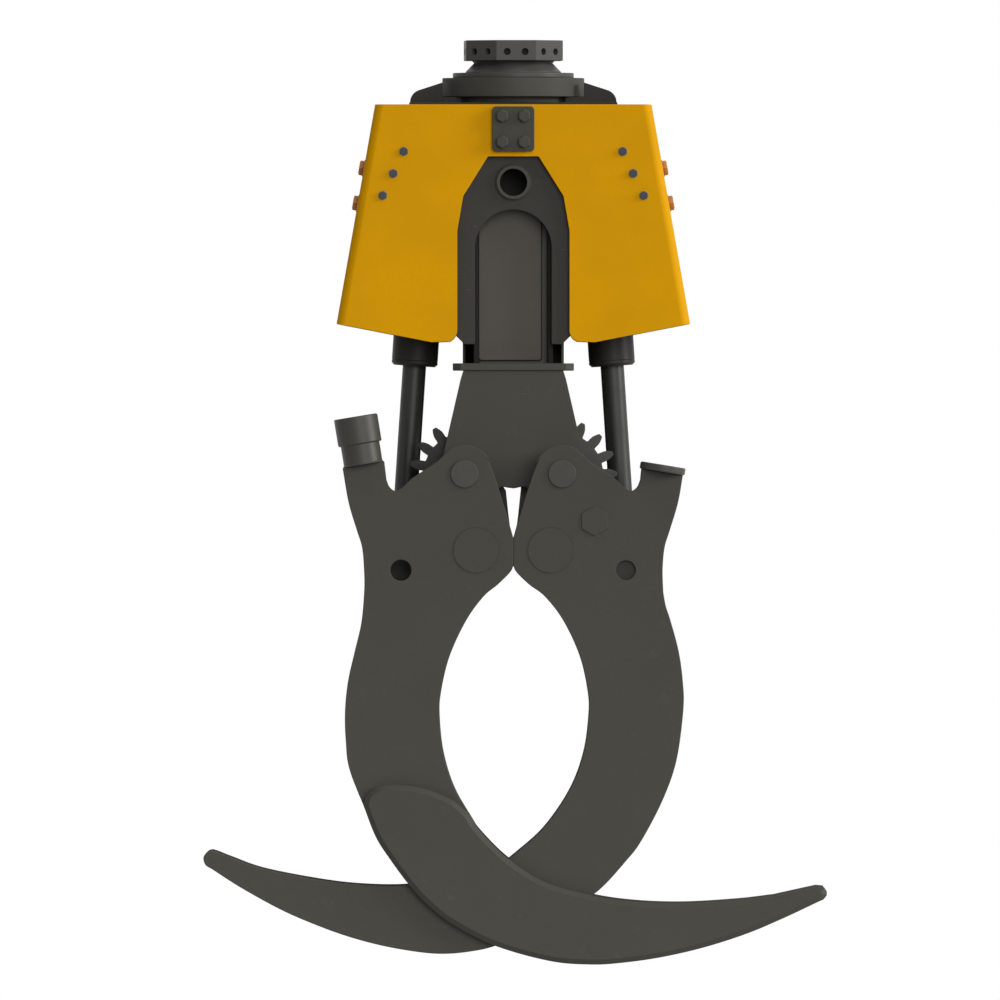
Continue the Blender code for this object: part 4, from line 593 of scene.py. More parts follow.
def bolt(flats, height, place, washer=0.0018):
    """A hexagon head on its washer, its face standing a little proud."""
    radius = flats / 2
    low = height - 0.001
    base = disc(radius * 1.18, washer, place, 48, 0.0005)
    head = hexagon(flats, height - washer - 0.0006, place @ move((0, 0, washer)))
    face = [(0, height), (radius * 0.80, height), (radius * 0.86, low), (0, low)]
    return joined([base, head, turned(face, place, 48, 0.0)])


def piece(name, mesh, look, body, slot, *nodes):
    """A finished piece: named, painted, riding on its body and standing for its nodes."""
    made = linked(name, mesh)
    mesh.name = name
    mesh.materials.clear()
    mesh.materials.append(LOOKS[look])
    flat = made.modifiers.new("flat_faces", "WEIGHTED_NORMAL")
    flat.keep_sharp = True
    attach(made, body)
    if nodes:
        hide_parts(*nodes)


def fixed(name, mesh, look, *nodes):
    """A piece of the housing's steelwork."""
    piece(name, mesh, look, "housing", "housing_steel", *nodes)


def depths(end, inner, outer):
    """Low and high Y of a plate in front or behind, from its distances to the middle."""
    return (inner, outer) if end == "rear" else (-outer, -inner)


def lying(x, z, y=0.0):
    """The place of a turned piece whose axis lies along Y."""
    return move((x, y, z)) @ ALONG_Y


# Swivel head and slewing ring
def dress_head():
    radius = HEAD_FLATS / 2 / math.cos(math.pi / 8)
    corners = [math.pi / 8 + i * math.pi / 4 for i in range(8)]
    outline = [(radius * math.cos(angle), radius * math.sin(angle)) for angle in corners]
    place = move((0, 0, -HEAD_HEIGHT / 2)) @ about("Z", HEAD_TURN)
    mesh = slab([eased(outline, 0.004)], 0, HEAD_HEIGHT, 0.0018, place, 2)
    bores = []
    shade_discs = []
    for facet in range(8):
        heading = about("Z", HEAD_TURN + facet * math.pi / 4)
        for side in (-1, 1):
            spot = Vector((side * PORT_SPACING / 2, HEAD_FLATS / 2, -PORT_DROP))
            hole = heading @ move(spot) @ ALONG_Y
            bores.append(drill(PORT_RADIUS, 2 * PORT_DEPTH, hole))
            bores.append(drill(PORT_MOUTH, PORT_MOUTH_DEPTH, hole))
            seat = hole @ move((0, 0, -PORT_FLOOR_DROP))
            # A near-black disc near the foot of each port bore: painted shade in the bore.
            shade_discs.append(disc(PORT_FLOOR, 0.003, seat, 32, 0.0005))
    piece("port_block", carved(mesh, [joined(bores)]), "head", "head", "head_steel", "head_block")
    piece("port_shade_discs", joined(shade_discs), "dark", "head", "head_steel")

    top = -HEAD_HEIGHT - FIT
    flange_top = -RING_TOP - FIT
    flange_low = flange_top - SHAFT_FLANGE_HEIGHT
    profile = [
        (0, top), (NECK_TOP, top), (NECK_WAIST, -NECK_DROP), (CONE_LIP, -CONE_DROP),
        (CONE_LIP, -RETAINER_TOP + FIT), (CONE, -RETAINER_TOP + FIT), (CONE, flange_top),
        (SHAFT_FLANGE, flange_top), (SHAFT_FLANGE, flange_low), (SPIGOT, flange_low),
        (SPIGOT, -DECK_LOW), (0, -DECK_LOW),
    ]
    piece("swivel_neck", turned(profile), "head", "head", "head_steel", "swivel_shaft")

    low = -RETAINER_TOP - RETAINER_HEIGHT
    mesh = collar(RETAINER, CONE + TURN_FIT, low, -RETAINER_TOP, None, ROUND, 0.002)
    fixed("retainer", mesh, "head", "retainer_ring")
    cavity = SHAFT_FLANGE + TURN_FIT
    floor = -RING_TOP - SHAFT_FLANGE_HEIGHT - 2 * FIT
    low = -RING_TOP - RING_HEIGHT
    bore = SPIGOT + TURN_FIT
    profile = [
        (RING, -RING_TOP), (RING, low), (BASE_RING, low), (BASE_RING, low - BASE_RING_HEIGHT),
        (bore, low - BASE_RING_HEIGHT), (bore, floor), (cavity, floor), (cavity, -RING_TOP),
    ]
    mesh = turned(profile, ease=0.002)
    fixed("slew_ring", mesh, "housing", "slewing_ring")


# Housing
def dress_deck():
    outline = rectangle(-DECK_WIDTH / 2, DECK_WIDTH / 2, -HALF_FRAME, HALF_FRAME)
    place = move((0, 0, -(DECK_TOP + DECK_LOW) / 2))
    hole = circle((0, 0), SPIGOT + DECK_CLEARANCE)
    deck = slab([eased(outline, 0.003), hole], 0, DECK_HEIGHT, EASE, place)
    low = -DECK_TOP - BITE
    edge = SHOULDER_THICKNESS / 2
    nearest = SHOULDER_SPREAD / 2 - edge
    foot = math.sqrt((BASE_RING + DECK_CLEARANCE) ** 2 - nearest ** 2)
    inner = RING - SEAT
    under_ring = -RING_TOP - RING_HEIGHT - 0.0005
    outer = DECK_WIDTH / 2 - DECK_RIM
    nose = SHOULDER_NOSE
    outline = [
        (foot, low), (outer, low), *arc((outer - nose, low), nose, 20, 66, 14),
        (inner, low + SHOULDER_HEIGHT), (inner, under_ring), (foot, under_ring),
    ]
    meshes = [deck]
    for sign in SIDES.values():
        for way in ENDS.values():
            middle = way * SHOULDER_SPREAD / 2
            meshes.append(slab([mirrored(outline, sign)], middle - edge, middle + edge))
    fixed("deck", joined(meshes), "deck", "top_deck")


def dress_arches():
    half = ARCH_WIDTH / 2
    gap = ARCH_GAP / 2
    cut = ARCH_FOOT_CUT
    foot = -ARCH_FOOT_DROP
    crown = arc((0, -ARCH_GAP_DROP - gap), gap, 0, 180, 48)
    outline = [
        (half, -DECK_LOW - FIT), (-half, -DECK_LOW - FIT), (-half, foot + cut), (-half + cut, foot),
        (-gap, foot), *reversed(crown), (gap, foot), (half - cut, foot), (half, foot + cut),
    ]
    hole = circle((0, -BOSS_DROP), BOSS + FIT)
    pad_half = CLAMP_WIDTH / 2
    pad = rectangle(-pad_half, pad_half, -CLAMP_TOP - CLAMP_HEIGHT, -DECK_LOW - 0.002)
    for end, way in ENDS.items():
        plate = slab([eased(outline, 0.004), hole], *depths(end, FRAME_INNER, HALF_FRAME))
        boss = slab([pad], *depths(end, HALF_FRAME - BITE, GUARD_INNER - FIT))
        bead = [(BOSS, 0.0022), (BOSS + 0.003, 0.0010), (BOSS + 0.0042, 0), (BOSS, 0)]
        away = about("X", 0 if way > 0 else math.pi)
        bead = turned(bead, lying(0, -BOSS_DROP, way * HALF_FRAME) @ away, ROUND_PIN)
        name = "arch_plate_" + end
        fixed("arch_" + end, joined([plate, boss, bead]), "arch", name)
    reach = HALF_FRAME + BOSS_PROUD
    wall = BOSS_WALL / 2
    profile = [
        (0, wall), (BOSS_BORE, wall), (BOSS_BORE, reach), (BOSS, reach), (BOSS, -reach),
        (BOSS_BORE, -reach), (BOSS_BORE, -wall), (0, -wall),
    ]
    tube = turned(profile, lying(0, -BOSS_DROP), ease=0.0015)
    fixed("boss_sleeve", tube, "housing", "boss_tube")


def standing_tube(width, depth, wall, top, low):
    outer = eased(rectangle(-width / 2, width / 2, -depth / 2, depth / 2), 0.006)
    inner = rectangle(-width / 2 + wall, width / 2 - wall, -depth / 2 + wall, depth / 2 - wall)
    place = move((0, 0, (top + low) / 2))
    return slab([outer, inner], 0, top - low, 0.0008, place)


def dress_column():
    foot = -FLANGE_DROP + FIT
    tube = standing_tube(COLUMN_WIDTH, COLUMN_DEPTH, COLUMN_WALL, -COLUMN_DROP, foot)
    # The column takes the lighter cover look: painted light against the arch legs' shade.
    fixed("column", tube, "cover", "column_box")
    low_x = -COLUMN_WIDTH / 2 + COVER_INSET
    low_z = foot + COVER_CORNER
    outline = rectangle(low_x, low_x + COVER_WIDTH, low_z, low_z + COVER_HEIGHT, COVER_CORNER)
    inner = COLUMN_DEPTH / 2 + FIT
    for end, way in ENDS.items():
        mesh = slab([mirrored(outline, -way)], *depths(end, inner, inner + COVER_PLATE), 0.0010)
        name = "column_cover_" + end
        fixed("cover_" + end, mesh, "cover", name)
        # A near-black sheet behind each cover, showing past its right and lower edges: painted shade
        # along the cover's edge.
        out = low_x + COVER_WIDTH + SHADE_LINE_WIDTH
        shade_outline = rectangle(low_x, out, low_z - SHADE_LINE_WIDTH, low_z + COVER_HEIGHT, COVER_CORNER)
        reach = inner + COVER_PLATE / 3
        mesh = slab([mirrored(shade_outline, -way)], *depths(end, inner - FIT, reach), 0.0003)
        fixed("cover_shade_line_" + end, mesh, "dark")

    deep = 2 * (FRAME_INNER - FIT)
    inner = COLUMN_WIDTH / 2 - SEAT
    outer = inner + FLANK_PLATE
    tall = -DECK_LOW - FIT - foot
    short = -LEG_WEB_DROP - foot
    web = ARCH_WIDTH / 2 - LEG_WEB_INSET - LEG_WEB / 2
    top = -DECK_LOW - 2 * FIT
    lug = [
        (outer - BITE, -TOP_PIN_DROP - 2 * LUG_NOSE),
        *arc((TOP_PIN_OUT, -TOP_PIN_DROP), LUG_NOSE, -100, 0, 24), (TOP_PIN_OUT + LUG_NOSE, top),
        (outer - BITE, top),
    ]
    hole = circle((TOP_PIN_OUT, -TOP_PIN_DROP), TOP_PIN + FIT)
    reach = LUG_GAP / 2 + LUG_THICKNESS
    for side, sign in SIDES.items():
        spot = move((sign * (inner + outer) / 2, 0, foot + tall / 2))
        meshes = [block((FLANK_PLATE, deep, tall), spot)]
        for end in ENDS:
            shapes = [mirrored(lug, sign), mirrored(hole, sign)]
            meshes.append(slab(shapes, *depths(end, LUG_GAP / 2, reach)))
        name = side + "_side_plate"
        # The flanks take the near-black look: painted shade in the gaps beside the column.
        fixed(side + "_flank", joined(meshes), "inner", name)
        spot = move((sign * web, 0, foot + short / 2))
        mesh = block((LEG_WEB, deep, short), spot, 0.0008)
        middle = move((sign * (outer + web) / 2, 0, foot + short / 2))
        mesh = joined([mesh, block((web - outer + SEAT, LEG_WEB, short), middle, 0.0003)])
        # The left web gets the near-black look as painted shade, the right one the plain housing
        # paint.
        look = "inner" if side == "left" else "housing"
        fixed(side + "_web_plate", mesh, look, side + "_leg_web")
        place = lying(sign * TOP_PIN_OUT, -TOP_PIN_DROP)
        mesh = bar(TOP_PIN, reach + ROD_PIN_PROUD, place, ease=0.002)
        piece(side + "_upper_pin", mesh, "pin", "housing", "pin_steel", side + "_top_pin")


def dress_lower_frame():
    half = FLANGE_WIDTH / 2
    deep = FLANGE_DEPTH / 2
    cut = FLANGE_CUT
    outline = [
        (half, -deep + cut), (half, deep - cut), (half - cut, deep), (-half + cut, deep),
        (-half, deep - cut), (-half, -deep + cut), (-half + cut, -deep), (half - cut, -deep),
    ]
    place = move((0, 0, -FLANGE_DROP - FLANGE_HEIGHT / 2))
    mesh = slab([outline], 0, FLANGE_HEIGHT, EASE, place)
    fixed("flange", mesh, "housing", "flange_plate")

    top = -FRAME_TOP
    seat = -PIVOT_DROP - FRAME_HEEL / 2
    heel = arc((PIVOT_X, -PIVOT_DROP), FRAME_HEEL, 12, -120, 32)
    right = [
        (FRAME_TOP_WIDTH / 2, top), (FRAME_SHOULDER_WIDTH / 2, top - FRAME_SHOULDER_DROP), *heel,
        (FRAME_THROAT / 2, seat), (0, seat - FRAME_SAG),
    ]
    outline = right + [(-x, z) for x, z in reversed(right[:-1])]
    bore = PIVOT_PIN + TURN_FIT
    holes = [circle((sign * PIVOT_X, -PIVOT_DROP), bore) for sign in (-1, 1)]
    for end in ENDS:
        meshes = [slab([eased(outline, 0.003)] + holes, *depths(end, FRAME_INNER, HALF_FRAME))]
        low, high = depths(end, GEAR_OUTER + FIT, PLATE_INNER - FIT)
        for sign in SIDES.values():
            place = lying(sign * PIVOT_X, -PIVOT_DROP)
            meshes.append(collar(PIVOT_BOSS, bore, low, high, place, ease=0.0015))
        mesh = joined(meshes)
        name = "frame_plate_" + end
        fixed("hinge_plate_" + end, mesh, "housing", name)

    low = -FRAME_TOP - CORE_HEIGHT
    wall = CORE_WALL
    outer = rectangle(-CORE_WIDTH / 2, CORE_WIDTH / 2, low, -FRAME_TOP)
    inner = rectangle(-CORE_WIDTH / 2 + wall, CORE_WIDTH / 2 - wall, low + wall, -FRAME_TOP - wall)
    reach = FRAME_INNER - FIT
    mesh = slab([eased(outer, 0.006), inner], -reach, reach)
    fixed("box_core", mesh, "housing", "frame_core")


# Guard
def guard_half(drop):
    """Half the guard's width at one height."""
    return GUARD_TOP_WIDTH / 2 + math.tan(GUARD_SLOPE) * (drop - GUARD_TOP)


def facing_out(mesh):
    """Turn the sheet's faces away from the housing before its wall is made."""
    body = bmesh.new()
    body.from_mesh(mesh)
    score = 0.0
    for face in body.faces:
        middle = face.calc_center_median()
        score += face.normal.xy.dot(middle.xy) * face.calc_area()
    if score < 0:
        bmesh.ops.reverse_faces(body, faces=body.faces)
    body.to_mesh(mesh)
    body.free()


def guard_line(drop, way):
    """The sheet's outer line at one height, seen from above."""
    half = guard_half(drop)
    face = GUARD_OUTER
    stretch = [(half, SHELL_GAP / 2)]
    stretch += arc((half - GUARD_BEND, face - GUARD_BEND), GUARD_BEND, 0, 90, 16)
    line = [(x, way * y, -drop) for x, y in stretch]
    return line + [(-x, y, z) for x, y, z in reversed(line)]


def guard_cutter(way):
    """What is cut from the front or the rear sheet: the opening over the column and the foot."""
    waist = CUT_WIDTH / 2
    foot = GUARD_FOOT
    reach = GUARD_LOW_WIDTH
    low = -GUARD_FOOT_DROP - 0.04
    rounded = arc((waist + foot, -GUARD_FOOT_DROP + foot), foot, 180, 250, 16)
    right = [
        (CUT_TOP_WIDTH / 2, -CUT_TOP), (CUT_NECK_WIDTH / 2, -CUT_NECK), (waist, -CUT_WAIST),
        *rounded, (GUARD_SLANT_END, -GUARD_FOOT_DROP), (GUARD_LOW_WIDTH / 2, -GUARD_SIDE_DROP),
        (reach, -GUARD_SIDE_DROP), (reach, low),
    ]
    outline = [(-x, z) for x, z in reversed(right)] + right
    depth = GUARD_OUTER + 0.01
    return slab([outline], *((-depth, 0) if way < 0 else (0, depth)), 0.0)


def rimmed(mesh, width):
    """Break the sharp rims of a cut sheet."""
    body = bmesh.new()
    body.from_mesh(mesh)
    bmesh.ops.dissolve_limit(
        body, angle_limit=math.radians(0.5), verts=body.verts, edges=body.edges, delimit={"NORMAL"}
    )
    rims = [
        edge for edge in body.edges
        if edge.is_manifold and edge.calc_face_angle(0) > math.radians(50)
    ]
    bmesh.ops.bevel(
        body, geom=rims, offset=width, affect="EDGES", segments=2, profile=0.5, material=-1,
        clamp_overlap=True,
    )
    body.to_mesh(mesh)
    body.free()
    return clean(mesh)


def dress_guard():
    for end, way in ENDS.items():
        body = bmesh.new()
        rows = []
        for drop in (GUARD_TOP, GUARD_FOOT_DROP + 0.01):
            row = [body.verts.new(point) for point in guard_line(drop, way)]
            rows.extend(body.edges.new(pair) for pair in zip(row, row[1:]))
        bmesh.ops.bridge_loops(body, edges=rows)
        sheet = bpy.data.meshes.new("sheet")
        body.to_mesh(sheet)
        body.free()
        facing_out(sheet)
        holder = linked("sheet", sheet)
        wall = holder.modifiers.new("wall", "SOLIDIFY")
        wall.thickness = GUARD_SHEET
        wall.offset = -1
        wall.use_even_offset = True
        shell = rimmed(carved(baked(holder), [guard_cutter(way)]), 0.0010)
        piece("guard_shell_" + end, shell, "yellow", "housing", "guard_yellow", "guard_" + end)


def dress_guard_screws():
    rest = move((0, 0, SCREW_WASHER_HEIGHT))
    heads = GUARD_OUTER + FIT + CLAMP_PLATE
    middle = -CLAMP_TOP - CLAMP_HEIGHT / 2
    small = []
    washers = []
    large = []
    side = []
    for way in ENDS.values():
        facing = about("X", -way * math.pi / 2)
        for sign in SIDES.values():
            for i in range(SCREWS):
                x = sign * (SCREW_OUT + i * SCREW_STEP_OUT)
                z = -SCREW_DROP - i * SCREW_STEP_DROP
                spot = move((x, way * GUARD_OUTER, z)) @ facing
                height = SCREW_HEIGHT - SCREW_WASHER_HEIGHT
                small.append(hexagon(SCREW_FLATS, height, spot @ rest, 0.0007))
                washers.append(disc(SCREW_WASHER, SCREW_WASHER_HEIGHT, spot, 40, 0.0004))
        for x in (-CLAMP_X / 2, CLAMP_X / 2):
            for z in (-CLAMP_Z / 2, CLAMP_Z / 2):
                spot = move((x, way * heads, middle + z)) @ facing
                large.append(hexagon(CLAMP_FLATS, CLAMP_HEX, spot, 0.0022))
        for sign in SIDES.values():
            out = about("Y", sign * math.pi / 2)
            lean = about("Y", -sign * GUARD_SLOPE)
            for i in range(SIDE_SCREWS):
                drop = SIDE_SCREW_DROP + i * SIDE_SCREW_STEP
                spot = move((sign * guard_half(drop), way * SIDE_SCREW_Y, -drop))
                side.append(bolt(SIDE_FLATS, SIDE_HEX, spot @ lean @ out))
    piece("guard_screws", joined(small), "slate", "housing", "pin_steel")
    piece("guard_washers", joined(washers), "washer", "housing", "pin_steel")
    piece("clamp_screws", joined(large), "steel", "housing", "pin_steel")
    piece("side_screws", joined(side), "copper", "housing", "pin_steel")


def dress_clamps():
    half = CLAMP_WIDTH / 2
    outline = rectangle(-half, half, -CLAMP_TOP - CLAMP_HEIGHT, -CLAMP_TOP, CLAMP_CORNER)
    inner = GUARD_OUTER + FIT
    for end in ENDS:
        mesh = slab([outline], *depths(end, inner, inner + CLAMP_PLATE), 0.0015, UPRIGHT, 2)
        piece("clamp_" + end, mesh, "steel", "housing", "dark_steel", "clamp_plate_" + end)


# Arms
def at(shares, sign=1):
    """The points that lie at these shares of the arm's size."""
    return [
        (sign * (out * ARM_WIDTH + ARM_TOUCH_GAP / 2), -PIVOT_DROP - down * ARM_HEIGHT)
        for out, down in shares
    ]


def horn_top(side):
    """Both ends of the horn's top edge; the right one is lower by its stop disc."""
    outer, inner = at((HORN_OUTER, HORN_INNER))
    if side == "left":
        return outer, inner
    in_by = STOP_DISC_HEIGHT * math.sin(HORN_TILT)
    down_by = STOP_DISC_HEIGHT * math.cos(HORN_TILT)
    return (outer[0] - in_by, outer[1] - down_by), (inner[0] - in_by, inner[1] - down_by)


def arm_outline(side):
    outer, inner = horn_top(side)
    lobe = arc((PIVOT_X, -PIVOT_DROP), LOBE, 62, 158, 32)
    edge = [outer, inner] + smooth(at(HORN_VALLEY)) + at(HORN_RISE) + lobe + smooth(at(THROAT))[1:]
    if side == "left":
        down = smooth(at(LEFT_INNER))
        back = smooth([outer] + at(ARM_OUTER[:-1]))
        return edge + down + at(LEFT_END) + list(reversed(back))[:-1]
    down = smooth(at(RIGHT_INNER + RIGHT_UPPER))
    tip = smooth(at(RIGHT_UPPER[-1:] + RIGHT_TIP))[1:]
    under = smooth(at(RIGHT_TIP[-1:] + RIGHT_LOWER))[1:]
    side_up = smooth(at(RIGHT_LOWER[-1:] + tuple(reversed(ARM_OUTER[:4]))) + [outer])[1:-1]
    return edge + down + tip + under + side_up


def dress_arm_plates(side, sign):
    outer = LEFT_OUTER if side == "left" else RIGHT_OUTER
    tube = (PIVOT_X - TUBE_IN, -PIVOT_DROP - TUBE_DROP)
    access = ACCESS_HOLE if side == "left" else ROD_PIN - SEAT
    shapes = [
        arm_outline(side), circle((PIVOT_X, -PIVOT_DROP), PIVOT_PIN - 2 * SEAT),
        circle(tube, TUBE - SEAT, 96), circle((ROD_PIN_X, -ROD_PIN_Z), access),
    ]
    shapes = [mirrored(shape, sign) for shape in shapes]
    for end in ENDS:
        mesh = slab(shapes, *depths(end, PLATE_INNER, outer), 0.0015, UPRIGHT, 2)
        name = side + "_arm_plate_" + end
        piece(side + "_jaw_" + end, mesh, "steel", side + "_arm", "dark_steel", name)
    if side == "right":
        plugs = []
        for way in ENDS.values():
            spot = (PIVOT_X + PLUG_OUT, way * (outer - BITE), -PIVOT_DROP - PLUG_DROP)
            face = move(spot) @ about("X", -way * math.pi / 2)
            plugs.append(hexagon(PLUG_FLATS, PLUG_PROUD + BITE, face, 0.0008))
        piece("right_plugs", joined(plugs), "steel", "right_arm", "dark_steel")


def tooth_lean(radius, base):
    """How far an involute flank leans from its start on the base circle to this radius."""
    if radius <= base:
        return 0.0
    roll = math.sqrt((radius / base) ** 2 - 1)
    return roll - math.atan(roll)


def gear_outline(side):
    pitch = PIVOT_X
    base = pitch * math.cos(PRESSURE_ANGLE)
    step = 2 * math.pi / TEETH_ROUND
    half = step / 4 - BACKLASH / (4 * pitch) + tooth_lean(pitch, base)
    first = -step / 2 if side == "left" else 0.0
    points = []
    for i in range(TEETH_CUT):
        middle = first + i * step
        flank = []
        for j in range(9):
            radius = base + (pitch + ADDENDUM - base) * j / 8
            flank.append((radius, half - tooth_lean(radius, base)))
        root = pitch - DEDENDUM
        points.append((root, middle - half * 1.12))
        points += [(radius, middle - lean) for radius, lean in flank]
        points += [(radius, middle + lean) for radius, lean in reversed(flank)]
        points.append((root, middle + half * 1.12))
    edge = [
        (PIVOT_X - radius * math.cos(angle), -PIVOT_DROP + radius * math.sin(angle))
        for radius, angle in points
    ]
    rod_boss = arc((ROD_PIN_X, -ROD_PIN_Z), ROD_BOSS, 20, -95, 32)
    tube = (PIVOT_X - TUBE_IN, -PIVOT_DROP - TUBE_DROP)
    tube_boss = arc(tube, TUBE_BOSS, -80, -190, 32)
    return eased(edge, 0.0025) + rod_boss + tube_boss + at(GEAR_EDGE)


def dress_gears(side, sign):
    tube = (PIVOT_X - TUBE_IN, -PIVOT_DROP - TUBE_DROP)
    shapes = [
        gear_outline(side), circle((PIVOT_X, -PIVOT_DROP), PIVOT_PIN - SEAT),
        circle(tube, TUBE - SEAT, 96), circle((ROD_PIN_X, -ROD_PIN_Z), ROD_PIN - SEAT),
    ]
    shapes = [mirrored(shape, sign) for shape in shapes]
    inner = ROD_EYE_WIDTH / 2 + FIT
    # The left sectors take the darker copy of the gear steel as painted shade.
    look = "gear_in_painted_shade" if side == "left" else "gear"
    for end in ENDS:
        plate = slab(shapes, *depths(end, GEAR_INNER, GEAR_OUTER), 0.0010)
        low, high = depths(end, inner, GEAR_INNER)
        place = lying(sign * ROD_PIN_X, -ROD_PIN_Z)
        mesh = joined([plate, collar(COLLAR, ROD_PIN + FIT, low, high, place)])
        name = side + "_gear_" + end
        piece(side + "_sector_" + end, mesh, look, side + "_arm", "dark_steel", name)


def dress_shafts(side, sign):
    body = side + "_arm"
    outer = LEFT_OUTER if side == "left" else RIGHT_OUTER
    reach = outer + PIVOT_PROUD
    step = GEAR_INNER - FIT
    profile = [
        (0, reach), (PIVOT_PIN, reach), (PIVOT_PIN, step), (SLEEVE, step), (SLEEVE, -step),
        (PIVOT_PIN, -step), (PIVOT_PIN, -reach), (0, -reach),
    ]
    mesh = turned(profile, lying(sign * PIVOT_X, -PIVOT_DROP), ease=0.002)
    piece(side + "_hinge_pin", mesh, "pin", body, "dark_steel", side + "_pivot_shaft")
    place = lying(sign * (PIVOT_X - TUBE_IN), -PIVOT_DROP - TUBE_DROP)
    mesh = bar(TUBE, outer + TUBE_PROUD, place, ease=0.0004)
    piece(side + "_tube", mesh, "steel", body, "dark_steel", side + "_torque_tube")
    reach = GEAR_OUTER + ROD_PIN_PROUD if side == "left" else outer - 2 * ROD_PIN_PROUD
    mesh = bar(ROD_PIN, reach, lying(sign * ROD_PIN_X, -ROD_PIN_Z), ease=0.002)
    # The recessed right rod pin takes the darker arch look as painted shade.
    look = "pin" if side == "left" else "arch"
    piece(side + "_lower_pin", mesh, look, body, "pin_steel", side + "_rod_pin")


def dress_webs(side, sign):
    body = side + "_arm"
    first, last = WEB_RANGE
    run = [share for share in ARM_OUTER if first <= share[1] <= last]
    line = [Vector(p) for p in smooth(at(run))]
    outer = []
    inner = []
    for i, point in enumerate(line):
        ahead = line[min(i + 1, len(line) - 1)] - line[max(i - 1, 0)]
        normal = Vector((ahead.y, -ahead.x)).normalized()
        outer.append(tuple(point + normal * WEB_INSET))
        inner.append(tuple(point + normal * (WEB_INSET + WEB_THICKNESS)))
    reach = PLATE_INNER - FIT
    mesh = slab([mirrored(outer + list(reversed(inner)), sign)], -reach, reach)
    piece(side + "_back", mesh, "steel", body, "dark_steel", side + "_arm_web")
    rows = [(side + "_heel_bar", side + "_cross_tube", CROSS_TUBE_AT, CROSS_TUBE)]
    if side == "right":
        rows.append(("right_tie_bar", "right_spreader", SPREADER_AT, SPREADER))
    for name, node, share, radius in rows:
        mesh = bar(radius, reach, lying(*at((share,), sign)[0]), ROUND_PIN)
        piece(name, mesh, "steel", body, "dark_steel", node)


def dress_tines():
    """The crossing tines: each is half of a plate with a wide bevel, cut at its middle plane."""
    heel = smooth(at(TINE_INNER[-1:] + TINE_HEEL + TINE_OUTER[:1]))
    outline = heel[:-1] + smooth(at(TINE_OUTER)) + at(TINE_TIP) + smooth(at(TINE_INNER))[:-1]
    thick = TINE_OUTER_FACE - TINE_INNER_FACE
    for end, way in ENDS.items():
        mesh = slab([mirrored(outline)], -thick, thick, TINE_BEVEL, UPRIGHT, 0)
        body = bmesh.new()
        body.from_mesh(mesh)
        cut = bmesh.ops.bisect_plane(
            body, geom=body.verts[:] + body.edges[:] + body.faces[:], plane_co=(0, 0, 0),
            plane_no=(0, -way, 0), clear_outer=True, dist=WELD,
        )
        rim = [item for item in cut["geom_cut"] if isinstance(item, bmesh.types.BMEdge)]
        bmesh.ops.triangle_fill(body, edges=rim, use_beauty=True)
        bmesh.ops.recalc_face_normals(body, faces=body.faces)
        body.to_mesh(mesh)
        body.free()
        mesh.transform(move((0, way * TINE_INNER_FACE, 0)))
        clean(mesh, 28)
        piece("left_blade_" + end, mesh, "steel", "left_arm", "dark_steel", "left_tine_" + end)


def horn_place(side, sign, depth):
    outer, inner = horn_top(side)
    middle = (sign * (outer[0] + inner[0]) / 2, depth, (outer[1] + inner[1]) / 2)
    tilt = about("Y", sign * HORN_TILT)
    return move(middle) @ tilt @ move((0, 0, FIT))


def dress_stops():
    top = BUMPER_NECK_HEIGHT + BUMPER_CAP_HEIGHT
    profile = [
        (0, top), (BUMPER_CAP, top), (BUMPER_CAP, BUMPER_NECK_HEIGHT),
        (BUMPER_NECK, BUMPER_NECK_HEIGHT), (BUMPER_NECK, 0.003), (BUMPER_NECK + 0.003, 0), (0, 0),
    ]
    middle = (PLATE_INNER + LEFT_OUTER) / 2
    for end, way in ENDS.items():
        mesh = turned(profile, horn_place("left", -1, way * middle), ease=0.003)
        piece("left_stop_" + end, mesh, "bumper", "left_arm", "bumper_grey", "left_bumper_" + end)
    thick = STOP_DISC_HEIGHT - 2 * FIT
    middle = (PLATE_INNER + RIGHT_OUTER) / 2
    for end, way in ENDS.items():
        mesh = disc(STOP_DISC, thick, horn_place("right", 1, way * middle), ease=0.003)
        name = "right_stop_disc_" + end
        piece("right_anvil_" + end, mesh, "bumper", "right_arm", "bumper_grey", name)


